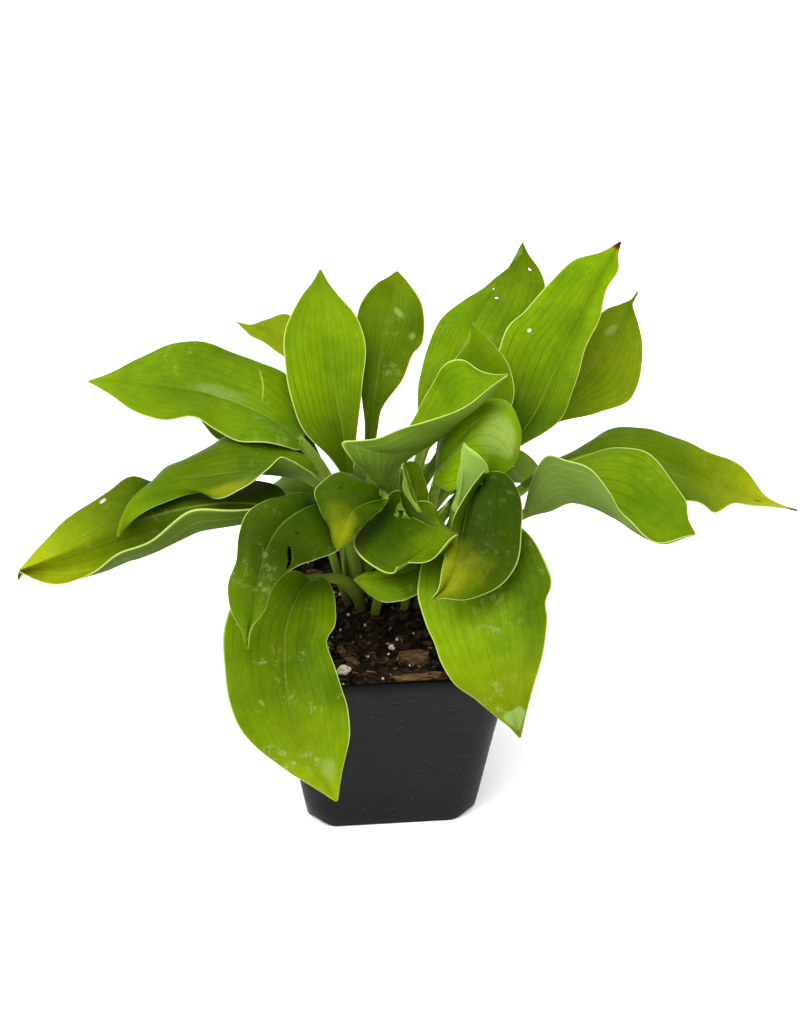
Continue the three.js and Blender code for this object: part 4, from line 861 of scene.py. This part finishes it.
def make_leaf(name, leaf, holes, look):
    """One leaf as a closed grid, with the places that its material reads kept on the points."""
    rng = random.Random(name)
    phases = [rng.uniform(0, 6) for _ in range(5)]
    curve = LeafCurve(leaf["path"])
    margins = None if "half" in leaf else leaf_margins(leaf, curve)
    blade = add_stations(leaf_stations(), [(hole[0], hole[2]) for hole in holes])
    foot = 1 - leaf["blade"] / curve.length
    u = np.concatenate([np.linspace(0, foot, STALK_RINGS, endpoint=False), mix(foot, 1, blade)])
    t = np.concatenate([np.zeros(STALK_RINGS), blade])
    sides = leaf_sides(holes)
    halves = [leaf_half(leaf, curve, margins, u, t, which, sides[which], phases) for which in (0, 1)]
    # from the left margin over the midrib, which is counted once, to the right margin
    upper, through, thick, lane = (np.concatenate([a[:, :0:-1], b], axis=1) for a, b in zip(*halves))
    across = np.concatenate([-sides[0][:0:-1], sides[1]])
    lower = upper - through * thick[..., None]
    rims = []
    for edge, inner in ((0, 1), (-1, -2)):
        outward = unit(upper[:, edge] - upper[:, inner])
        rims.append((upper[:, edge] + lower[:, edge]) / 2 + outward * thick[:, edge, None] * RIM_ROUND)
    rows, count = upper.shape[:2]
    points = np.concatenate([upper.reshape(-1, 3), lower.reshape(-1, 3), *rims])
    grid = np.arange(rows * count).reshape(rows, count)
    rim_left = 2 * rows * count + np.arange(rows)
    gone = hole_cells(holes, np.where(t > 0, t, -1), across)
    faces = leaf_faces(grid, grid + rows * count, rim_left, rim_left + rows, gone)
    # along is 0 to 1 on the blade and -1 to 0 on the stalk, and the rims have the lane of the margin
    along = np.where(t > 0, t, u * STALK_TO_ZERO - 1)
    flat = lane.reshape(-1)
    edges = np.ones(rows)
    values = {
        "across": np.concatenate([np.tile(across, rows * 2), -edges, edges]),
        "under": np.concatenate([np.zeros(rows * count), np.ones(rows * count), edges / 2, edges / 2]),
        "along": np.concatenate([np.tile(np.repeat(along, count), 2), along, along]),
        "lane": np.concatenate([flat, flat, edges * VEINS, edges * VEINS]),
    }
    points, faces, values = drop_unused(points, faces, values)
    piece = make_piece(name + "_fine", points, faces, "leaf", leaf_material(name, look), name)
    for key, value in values.items():
        add_attribute(piece, key, value)


# ================================================================== leaf material
LEAF_LIGHT = (0.094, 0.148, 0.0008)
LEAF_GREEN = (0.051, 0.101, 0.0008)
# LEAF_DEEP is the colour of all painted shade: on shaded leaves and their feet, in dark patches and in the
# vein grooves.
LEAF_DEEP = (0.011, 0.031, 0.0006)
LEAF_YELLOW = (0.150, 0.162, 0.0030)
# Pale line along the margins: a painted highlight where the thin edge catches the light.
MARGIN_HIGHLIGHT = (0.300, 0.360, 0.0900)
LEAF_UNDER = (0.075, 0.125, 0.0080)
LEAF_GREY = (0.115, 0.180, 0.0330)
VEIN_PALE = (0.200, 0.240, 0.0400)
# Pale of the dried water spots, also used for a painted highlight.
SPOT_AND_SHEEN_PALE = (0.180, 0.230, 0.0700)
TIP_BROWN = (0.050, 0.004, 0.0020)
STALK_GREEN = (0.110, 0.155, 0.0200)
STALK_BROWN = (0.030, 0.026, 0.0100)
# Patch colours: dark is painted shade, light is painted light, and pale is the dried water's colour, used on
# center_arching for a painted highlight.
SOFT_COLORS = {"yellow": LEAF_YELLOW, "dark": LEAF_DEEP, "pale": SPOT_AND_SHEEN_PALE, "light": LEAF_LIGHT}
# crease is pale as a painted highlight along the ridge of a fold; brown, residue and white are marks of the
# leaf itself.
CRISP_COLORS = {"brown": (0.014, 0.007, 0.003), "crease": VEIN_PALE, "residue": (0.13, 0.20, 0.05),
                "white": (0.33, 0.36, 0.27)}
# noises: scale, detail, roughness
CLOUD = (34.0, 4.0, 0.6)
YELLOWING = (24.0, 2.0, 0.5)
MOTTLE = (240.0, 3.0, 0.6)
STAIN = (210.0, 5.0, 0.72)
STAINED_REGION = (44.0, 2.0, 0.5)
PATCH_EDGE = (70.0, 3.0, 0.6)
LEAF_GRAIN = (900.0, 2.0, 0.5)
STREAKS = (22.0, 3.0)  # scales across and along the blade of noises that are drawn out along it
RUNGS = (9.0, 85.0)  # and across it
YELLOW_SPREAD = 0.45  # part of the blade over which the yellow comes in
SPOT_STRENGTH = 0.55
VEIN_WIDTH = 0.12  # half the width of a side vein, as part of the distance between two
VEIN_AT_TIP = 0.35  # how strong the side veins still are at the tip
RIB_WIDTH = 0.03
RIB_STRENGTH = 0.4
MARGIN_EDGE = (0.974, 0.992)  # the painted highlight along the margin starts and is complete at these places across
MARGIN_STRENGTH = 0.75
TIP_EDGE = (0.955, 0.975)  # and the brown tip at these places along
STALK_STAIN = (-0.95, -0.75)  # the stalk's brown foot ends between these
STALK_TOP = (-0.02, 0.03)  # the stalk's colour ends between these
GLOSS = (0.34, 0.46)  # least and greatest roughness, and what spots and the lower face add to it
SPOT_DULL = 0.4
UNDER_DULL = 0.17


def leaf_patch(g, body, along, signed, patch):
    """Blends in one spot of another colour, which fades out or has an uneven edge; some spots are painted
    shade, light or highlight.
    """
    place_t, place_q, long, wide, color, strength, slant = patch
    reach_t = g.math("DIVIDE", g.minus(along, place_t), long)
    beside = g.minus(g.minus(signed, place_q), g.times(reach_t, slant))
    reach_q = g.math("DIVIDE", beside, wide)
    square = g.plus(g.times(reach_t, reach_t), g.times(reach_q, reach_q))
    uneven = g.plus(square, g.ramp(g.noise(*PATCH_EDGE), 0.3, 0.7, -0.3, 0.3))
    if color in CRISP_COLORS:
        return g.blend(g.ramp(uneven, 0.7, 1.1, strength, 0.0), body, CRISP_COLORS[color])
    return g.blend(g.ramp(uneven, -0.2, 1.9, strength, 0.0), body, SOFT_COLORS[color])


def leaf_upper_color(g, look, along, signed, fields):
    """Colour of the upper face, with its veins, its painted shade and light, and how much dried water lies on
    it.
    """
    cloud, streak, vein = fields
    across = g.math("ABSOLUTE", signed)
    body = g.blend(g.ramp(cloud, 0.3, 0.7), LEAF_LIGHT, LEAF_GREEN)
    body = g.blend(g.times(g.ramp(streak, 0.35, 0.7), 0.4), body, LEAF_GREEN)
    # Painted shade: the blade is darkened towards LEAF_DEEP, more at its foot in the shade of the other
    # leaves, over the whole of a leaf that lies in shadow, and a little less at the margins.
    foot_shade = g.ramp(along, 0.0, look["dark_to"], look["dark_foot"], 0.0)
    painted_shade = g.plus(foot_shade, look["dark"], clamp=True)
    body = g.blend(g.times(painted_shade, g.ramp(across, 0.15, 1.0, 1.0, 0.7)), body, LEAF_DEEP)
    start = look["yellow_from"]
    yellow = g.times(g.ramp(along, start, start + YELLOW_SPREAD), look["yellow"])
    yellow = g.times(yellow, g.ramp(g.noise(*YELLOWING), 0.25, 0.6, 0.35, 1.0), clamp=True)
    body = g.blend(yellow, body, LEAF_YELLOW)
    # Lightness at the foot, in the middle and at the tip: partly painted light and shade.
    foot, middle, tip = look["tones"]
    body = g.scaled(body, g.ramp(along, 0.1, 0.5, foot, middle))
    body = g.scaled(body, g.ramp(along, 0.5, 0.95, 1.0, tip / middle))
    for patch in look["patches"]:
        body = leaf_patch(g, body, along, signed, patch)
    # The side veins are painted darker: painted shade in their grooves.
    body = g.blend(g.times(vein, look["vein"]), body, LEAF_DEEP)
    rib = g.times(g.ramp(across, 0.0, RIB_WIDTH, 1.0, 0.0), g.ramp(along, 0.0, 0.9, RIB_STRENGTH, 0.0))
    body = g.blend(rib, body, VEIN_PALE)
    body = g.scaled(body, g.ramp(g.noise(*MOTTLE), 0.3, 0.7, 0.94, 1.06))
    stain = g.ramp(g.noise(*STAIN), 0.52, 0.64)
    region = g.ramp(g.noise(*STAINED_REGION), 0.54, 0.66)
    spots = g.times(g.times(stain, region), look["spots"] * SPOT_STRENGTH, clamp=True)
    return g.blend(spots, body, SPOT_AND_SHEEN_PALE), spots


def leaf_lower_color(g, look, fields):
    """Colour of the lower face, with its pale raised veins."""
    cloud, streak, vein = fields
    lower = g.blend(look["grey"], LEAF_UNDER, LEAF_GREY)
    lower = g.blend(g.times(g.ramp(cloud, 0.3, 0.7), 0.35), lower, LEAF_GREEN)
    lower = g.blend(g.times(g.ramp(streak, 0.4, 0.7), 0.25), lower, LEAF_GREEN)
    lower = g.blend(g.times(vein, look["vein"]), lower, VEIN_PALE)
    # under scales the lightness of the lower face: partly painted light and shade.
    return g.scaled(lower, look["under"])


def leaf_relief(g, along, signed, under, vein):
    """Fine cross veins between the side veins, the side veins and a fine grain."""
    rungs = g.noise(1.0, 2.0, 0.5, g.join(g.times(signed, RUNGS[0]), g.times(along, RUNGS[1]), under))
    normal = g.bump(rungs, 0.26, 0.0004)
    normal = g.bump(g.minus(1.0, vein), 0.3, 0.0003, normal)
    return g.bump(g.noise(*LEAF_GRAIN), 0.05, 0.0002, normal)


def leaf_material(name, look):
    g = Graph(name + "_surface")
    along, signed, under, lane = (g.attribute(key) for key in ("along", "across", "under", "lane"))
    across = g.math("ABSOLUTE", signed)
    drawn_out = g.join(g.times(signed, STREAKS[0]), g.times(along, STREAKS[1]), under)
    streak = g.noise(1.0, 3.0, 0.55, drawn_out)
    vein = g.ramp(g.math("PINGPONG", lane, 0.5), 0.0, VEIN_WIDTH, 1.0, 0.0)
    vein = g.times(vein, g.ramp(along, 0.0, 1.0, 1.0, VEIN_AT_TIP))
    fields = (g.noise(*CLOUD), streak, vein)
    body, spots = leaf_upper_color(g, look, along, signed, fields)
    color = g.blend(g.ramp(under, 0.45, 0.55), body, leaf_lower_color(g, look, fields))
    stalk = g.blend(g.ramp(streak, 0.3, 0.7), STALK_GREEN, LEAF_UNDER)
    stalk = g.blend(g.ramp(along, *STALK_STAIN, 0.9, 0.0), stalk, STALK_BROWN)
    color = g.blend(g.ramp(along, *STALK_TOP, 1.0, 0.0), color, stalk)
    # Painted highlight: a thin pale line along the margins.
    edge = g.times(g.ramp(across, *MARGIN_EDGE, 0.0, MARGIN_STRENGTH), g.ramp(along, 0.01, 0.06))
    color = g.blend(edge, color, MARGIN_HIGHLIGHT)
    if look["tip"]:
        color = g.blend(g.ramp(along, *TIP_EDGE, 0.0, look["tip"]), color, TIP_BROWN)
    rough = g.plus(g.ramp(streak, 0.2, 0.8, *GLOSS), g.times(spots, SPOT_DULL))
    rough = g.plus(rough, g.times(under, UNDER_DULL), clamp=True)
    return g.finish(color, rough, leaf_relief(g, along, signed, under, vein), Subsurface_Weight=0.15,
                    Subsurface_Radius=(0.55, 1.0, 0.05), Subsurface_Scale=0.0015,
                    Specular_IOR_Level=0.035, Specular_Tint=(0.9, 1.0, 0.3))


# ================================================================== pot
POT_DARK = (0.0050, 0.0054, 0.0053)
POT_LIGHT = (0.0075, 0.0080, 0.0079)
POT_STREAK = (0.012, 0.013, 0.013)
POT_BAND_SHADE = (0.0006, 0.0007, 0.0007)
POT_DUST = (0.12, 0.12, 0.11)


def rounded_square(half, radius):
    """Points of the outline, anticlockwise from the rear end of the right side."""
    core = half - radius
    arcs = []
    for quarter, (sx, sy) in enumerate(((1, 1), (-1, 1), (-1, -1), (1, -1))):
        angle = (quarter + np.arange(CORNER_STEPS + 1) / CORNER_STEPS) * math.pi / 2
        arcs.append(np.column_stack([sx * core + radius * np.cos(angle), sy * core + radius * np.sin(angle)]))
    part = (np.arange(1, SIDE_STEPS) / SIDE_STEPS)[:, None]
    outline = []
    for arc, following in zip(arcs, arcs[1:] + arcs[:1]):
        outline += [arc, mix(arc[-1], following[0], part)]
    return np.vstack(outline)


def wall_half(z):
    return mix(POT_BASE_HALF, POT_TOP_HALF - RIM_STEP, z / POT_HEIGHT)


def corner_radius(z):
    return mix(POT_BASE_CORNER, POT_TOP_CORNER, z / POT_HEIGHT)


def corner_share(points):
    """1 in the middle of each rounded corner, 0 on the flat sides."""
    angle = np.arctan2(points[:, 1], points[:, 0])
    off = np.abs(np.abs(np.abs(angle) - math.pi / 2) - math.pi / 4)
    return np.clip(1 - off / CORNER_SPREAD, 0, 1)


def pot_ring(z, inset, lift=0.0, dent=0.0):
    """The wall's outline at one height, with raised corners and sides that are drawn in unevenly."""
    outline = rounded_square(wall_half(z) - inset, corner_radius(z) - max(0, inset))
    share = smooth(corner_share(outline))
    along_x = np.sin(outline[:, 0] * WALL_WAVE_X[0] + z * WALL_WAVE_X[1])
    along_y = np.cos(outline[:, 1] * WALL_WAVE_Y[0] - z * WALL_WAVE_Y[1])
    drawn_in = 1 - dent * (1 - share) * (1 + along_x * along_y) / 2 / POT_TOP_HALF
    return np.column_stack([outline * drawn_in[:, None], z + lift * share])


def stack_rings(rings):
    """Points of the rings, quads between them and a flat face at each end."""
    points = np.vstack(rings)
    index = np.arange(len(points)).reshape(len(rings), -1)
    following = np.roll(index, -1, axis=1)
    quads = np.stack([index[:-1], following[:-1], following[1:], index[1:]], axis=-1).reshape(-1, 4)
    return points, [*quads.tolist(), index[0][::-1].tolist(), index[-1].tolist()]


def pot_profile():
    """Height, inset, lift and dent of the rings: underside, outer wall, rim band, lip and inside."""
    band_foot = POT_HEIGHT - RIM_BAND
    wall_top = band_foot - RIM_STEP
    lip_foot = POT_HEIGHT - LIP_ROUND
    lip_turn = POT_HEIGHT - LIP_ROUND * 0.3
    foot = [(0, NOTCH_FLAT), (0, NOTCH_SLOPE, NOTCH_HEIGHT * 0.6), (0, FOOT_ROUND, NOTCH_HEIGHT),
            (FOOT_ROUND * 0.35, FOOT_ROUND * 0.3, NOTCH_HEIGHT), (FOOT_ROUND, 0, NOTCH_HEIGHT)]
    wall = []
    for i in range(1, WALL_RINGS):
        z = mix(FOOT_ROUND + WALL_START, wall_top - 1, i / WALL_RINGS)
        wall.append((z, WALL_RIPPLE * math.sin(i * 2.4), 0, WALL_DENT * math.sin(math.pi * i / WALL_RINGS)))
    band = [(wall_top, 0), (band_foot - RIM_STEP * 0.3, -RIM_STEP * 0.75), (band_foot, -RIM_STEP)]
    lip = [(lip_foot - 2, -RIM_STEP), (lip_foot, -RIM_STEP), (lip_turn, -RIM_STEP * 0.8),
           (POT_HEIGHT, LIP_ROUND - RIM_STEP), (POT_HEIGHT, POT_WALL - LIP_ROUND),
           (lip_turn, POT_WALL - LIP_ROUND * 0.2), (lip_foot, POT_WALL)]
    inside = [(POT_HEIGHT - 12, POT_WALL), (POT_FLOOR + NOTCH_HEIGHT + 2, POT_WALL),
              (POT_FLOOR, POT_WALL + 1, NOTCH_HEIGHT), (POT_FLOOR, NOTCH_FLAT)]
    return foot + wall + band + lip + inside


def make_pot():
    points, faces = stack_rings([pot_ring(*ring) for ring in pot_profile()])
    piece = make_piece("pot_moulding", points, faces, "pot_plastic", pot_material(), "pot")
    piece.data.set_sharp_from_angle(angle=SHARP_ANGLE * DEGREE)


def pot_material():
    g = Graph("pot_plastic_surface")
    height = g.node("ShaderNodeSeparateXYZ", {0: g.position()}, 2)
    streaks = g.noise(1.0, 3.0, 0.6, g.place((14, 14, 520)))
    cloud = g.noise(30.0, 4.0, 0.6)
    dust = g.times(g.ramp(g.noise(560.0, 2.0, 0.6), 0.70, 0.76), g.ramp(cloud, 0.4, 0.65, 0.0, 0.5))
    color = g.blend(g.ramp(cloud, 0.25, 0.75), POT_DARK, POT_LIGHT)
    color = g.blend(g.times(g.ramp(streaks, 0.45, 0.8), 0.35), color, POT_STREAK)
    # Painted shade: the rim band is painted much darker than the wall below it.
    band = (POT_HEIGHT - RIM_BAND) * MM
    color = g.blend(g.ramp(height, band - MM, band + MM), color, POT_BAND_SHADE)
    color = g.blend(dust, color, POT_DUST)
    pits = g.ramp(g.noise(150.0, 1.0, 0.5), 0.66, 0.72, 1.0, 0.0)
    normal = g.bump(pits, 0.5, 0.0006)
    normal = g.bump(streaks, 0.14, 0.0006, normal)
    normal = g.bump(g.noise(1500.0, 2.0, 0.5), 0.10, 0.0002, normal)
    return g.finish(color, g.ramp(cloud, 0.2, 0.8, 0.34, 0.52), normal, Specular_IOR_Level=0.045)


# ================================================================== soil, chips and litter
SOIL_DARK = (0.0012, 0.0009, 0.0006)
SOIL_LIGHT = (0.016, 0.010, 0.0055)
SOIL_WARM = (0.024, 0.013, 0.006)
SOIL_FLECK = (0.16, 0.12, 0.08)
BARK_WARM = (0.03, 0.018, 0.011)
BARK_COLORS = {  # the dark and the light of the grain
    "bark_chip_surface": ((0.008, 0.0045, 0.002), (0.135, 0.074, 0.028)),
    "bark_small_surface": ((0.003, 0.0018, 0.0010), (0.040, 0.020, 0.009)),
    "bark_pale_surface": ((0.05, 0.032, 0.015), (0.19, 0.14, 0.075)),
}
PERLITE_PIT = (0.20, 0.17, 0.11)
PERLITE_WHITE = (0.48, 0.45, 0.36)
BARK_ROUND = 0.10  # how much the edges and corners of a chip are rounded
BARK_TORN = 0.07
BARK_TAPER = 0.35  # how much narrower it gets towards its ends
BARK_SWELL = 0.16
BARK_RIDGE = 0.06
LUMP_BUMPS = (0.16, 0.10)
CRUMB_LEAN = 0.5  # the greatest lean, in radians
CRUMB_CUT = (0.45, 1.1)  # how far out a corner lies, as part of the plain block's
CUBE_CORNERS = [(x, y, z) for z in (-1, 1) for x, y in ((-1, -1), (1, -1), (1, 1), (-1, 1))]
CUBE_FACES = [(0, 3, 2, 1), (4, 5, 6, 7), (0, 1, 5, 4), (1, 2, 6, 5), (2, 3, 7, 6), (3, 0, 4, 7)]


def soil_height(x, y):
    distance = np.hypot(x - CROWN[0], y - CROWN[1])
    mound = SOIL_CROWN * smooth(1 - distance / MOUND_REACH)
    bumps = np.sin(x * BUMP_ALONG[0] + 1) * np.cos(y * BUMP_ALONG[1])
    bumps = bumps + BUMP_SLANT_SHARE * np.sin(x * BUMP_SLANT[0] - y * BUMP_SLANT[1])
    return SOIL_EDGE + mound + SOIL_BUMP * bumps


def rough_ground(x, y):
    """Crumbly relief added to the soil, from a few turned waves."""
    relief = 0
    for i, size in enumerate(GROUND_WAVES):
        turn = GROUND_TURN[0] + GROUND_TURN[1] * i
        along = (x * math.cos(turn) + y * math.sin(turn)) * ROUND / size
        across = (-x * math.sin(turn) + y * math.cos(turn)) * ROUND / size
        bent = along + GROUND_BEND[0] * np.sin(across * GROUND_BEND[1])
        wave = np.sin(bent) * np.cos(across + GROUND_SHIFT * i)
        relief = relief + GROUND_HEIGHT * size ** GROUND_POWER * wave
    return relief


def make_soil(material):
    edge = pot_ring(SOIL_EDGE, SOIL_INSET)[:, :2]
    rings = [pot_ring(POT_FLOOR + 4, SOIL_INSET), pot_ring(SOIL_EDGE - 3, SOIL_INSET)]
    for i in range(SOIL_RINGS):
        x, y = mix(np.array(CROWN), edge, 1 - i / SOIL_RINGS).T
        rings.append(np.column_stack([x, y, soil_height(x, y) + rough_ground(x, y) * min(1, i / 2)]))
    make_piece("soil_bed", *stack_rings(rings), "soil", material, "soil")


def soil_material():
    g = Graph("soil_surface")
    grit = g.noise(420.0, 5.0, 0.7)
    patch = g.noise(90.0, 3.0, 0.6)
    fleck = g.ramp(g.noise(780.0, 2.0, 0.5), 0.68, 0.74)
    color = g.blend(g.ramp(grit, 0.42, 0.66), SOIL_DARK, SOIL_LIGHT)
    color = g.blend(g.times(g.ramp(patch, 0.45, 0.7), 0.6), color, SOIL_WARM)
    color = g.blend(g.times(fleck, 0.35), color, SOIL_FLECK)
    normal = g.bump(grit, 1.0, 0.0016)
    normal = g.bump(g.noise(1500.0, 3.0, 0.6), 0.4, 0.0004, normal)
    return g.finish(color, g.ramp(patch, 0.3, 0.7, 0.75, 0.97), normal, Specular_IOR_Level=0.05)


def bark_material(name):
    g = Graph(name)
    grain = g.noise(1.0, 4.0, 0.6, g.place((130, 700, 700)))
    patch = g.noise(170.0, 3.0, 0.6)
    color = g.blend(g.ramp(grain, 0.3, 0.7), *BARK_COLORS[name])
    color = g.blend(g.times(g.ramp(patch, 0.5, 0.75), 0.5), color, BARK_WARM)
    rough = g.ramp(patch, 0.3, 0.7, 0.7, 0.95)
    return g.finish(color, rough, g.bump(grain, 0.8, 0.0008), Specular_IOR_Level=0.08)


def perlite_material():
    g = Graph("perlite_surface")
    pits = g.noise(900.0, 3.0, 0.6)
    color = g.blend(g.ramp(pits, 0.35, 0.6), PERLITE_PIT, PERLITE_WHITE)
    return g.finish(color, 0.9, g.bump(pits, 0.6, 0.0004))


def turned(first, second, angle):
    cosine, sine = math.cos(angle), math.sin(angle)
    return first * cosine - second * sine, first * sine + second * cosine


def bark_point(x, y, z, shifts, bend):
    """Where a point of the block lies on a rounded, torn and bent piece of bark."""
    soft = 1 - BARK_ROUND * (abs(x) ** 6 + abs(y) ** 6 + abs(z) ** 6) / 3
    torn = BARK_TORN * math.sin(7 * y + shifts[0]) * math.sin(5 * z + shifts[1])
    x, y, z = x * soft + torn * x, y * soft, z * soft
    y = y * (1 - BARK_TAPER * x * x) + bend * (x * x - 0.5)
    z *= 1 + BARK_SWELL * math.sin(4 * x + shifts[2]) * math.cos(6 * y + shifts[3])
    return x, y + BARK_RIDGE * math.sin(9 * x + shifts[4]), z


def lump_point(x, y, z, shifts):
    """Where a point of the ball lies on a lump of perlite."""
    bump = 1 + LUMP_BUMPS[0] * math.sin(3 * x + shifts[0]) * math.sin(4 * y + shifts[1])
    bump += LUMP_BUMPS[1] * math.sin(7 * z + shifts[2]) * math.sin(6 * x + shifts[3])
    return x * bump, y * bump, z * bump


def make_chip(name, seed, slot, material, chip):
    """A chip of the solid model, from the same block or ball, split finer and with a torn surface."""
    place, size, turn, tilt, bend = chip
    work = bmesh.new()
    if slot == "perlite":
        bmesh.ops.create_icosphere(work, subdivisions=4, radius=1.0)
    else:
        bmesh.ops.create_cube(work, size=2.0)
        bmesh.ops.subdivide_edges(work, edges=work.edges[:], cuts=15, use_grid_fill=True)
    rng = random.Random(seed)
    shifts = [rng.uniform(0, 6.3) for _ in range(5)]
    base = soil_height(*place) + size[2] * CHIP_RISE
    points = []
    for vertex in work.verts:
        shaped = lump_point(*vertex.co, shifts) if slot == "perlite" else bark_point(*vertex.co, shifts, bend)
        x, y, z = (value * side / 2 for value, side in zip(shaped, size))
        x, z = turned(x, z, -tilt * DEGREE)
        x, y = turned(x, y, turn * DEGREE)
        points.append((x + place[0], y + place[1], z + base))
    faces = [[vertex.index for vertex in face.verts] for face in work.faces]
    work.free()
    make_piece(name + "_fine", points, faces, slot, material, name)


def crumb(rng, place, size):
    """The corners of one crumb: a small block with its corners moved about."""
    turn = rng.uniform(0, math.pi)
    lean = rng.uniform(-CRUMB_LEAN, CRUMB_LEAN)
    points = []
    for corner in CUBE_CORNERS:
        x, y, z = (c * s / 2 * rng.uniform(*CRUMB_CUT) for c, s in zip(corner, size))
        x, z = turned(x, z, -lean)
        x, y = turned(x, y, turn)
        points.append((x + place[0], y + place[1], z + place[2]))
    return points


def beside_corner(x, y, reach):
    """Whether a place lies outside the soil's rounded corner."""
    near_x, near_y = abs(x) - reach, abs(y) - reach
    far_out = math.hypot(near_x + LITTER_CORNER + 2, near_y + LITTER_CORNER + 2) > LITTER_CORNER + 1
    return near_x > -LITTER_CORNER and near_y > -LITTER_CORNER and far_out


def scatter(name, material, rng):
    """Many small closed crumbs in one piece, spread over the soil by chance."""
    slot, count, rise, spans = LITTER[name]
    reach = wall_half(SOIL_EDGE) - POT_WALL - LITTER_MARGIN
    points, faces = [], []
    while len(faces) < count * len(CUBE_FACES):
        x, y = rng.uniform(-reach, reach), rng.uniform(-reach, reach)
        if beside_corner(x, y, reach):
            continue
        size = [rng.uniform(*span) for span in spans]
        if max(abs(x), abs(y)) + size[0] / 2 > reach + LITTER_OVER:
            continue
        z = soil_height(x, y) + rough_ground(x, y) + size[2] * rise
        faces += [[len(points) + i for i in face] for face in CUBE_FACES]
        points += crumb(rng, (x, y, z), size)
    make_piece(name, points, faces, slot, material, smooth_shading=False)


# ================================================================== assembly
def make_all():
    make_camera()
    make_lights()
    make_floor()
    make_pot()
    soil = soil_material()
    perlite = perlite_material()
    bark, small_bark, pale_bark = (bark_material(name) for name in BARK_COLORS)
    make_soil(soil)
    rng = random.Random(SEED)
    for name, material in zip(LITTER, (soil, small_bark, pale_bark, perlite)):
        scatter(name, material, rng)
    for seed, (name, chip) in enumerate(CHIPS.items(), start=1):
        slot = name.split("_")[0]
        make_chip(name, seed, slot, perlite if slot == "perlite" else bark, chip)
    for name, leaf in LEAVES.items():
        make_leaf("leaf_" + name, leaf, HOLES.get(name, []), {**PLAIN, **LOOKS.get(name, {})})


make_all()
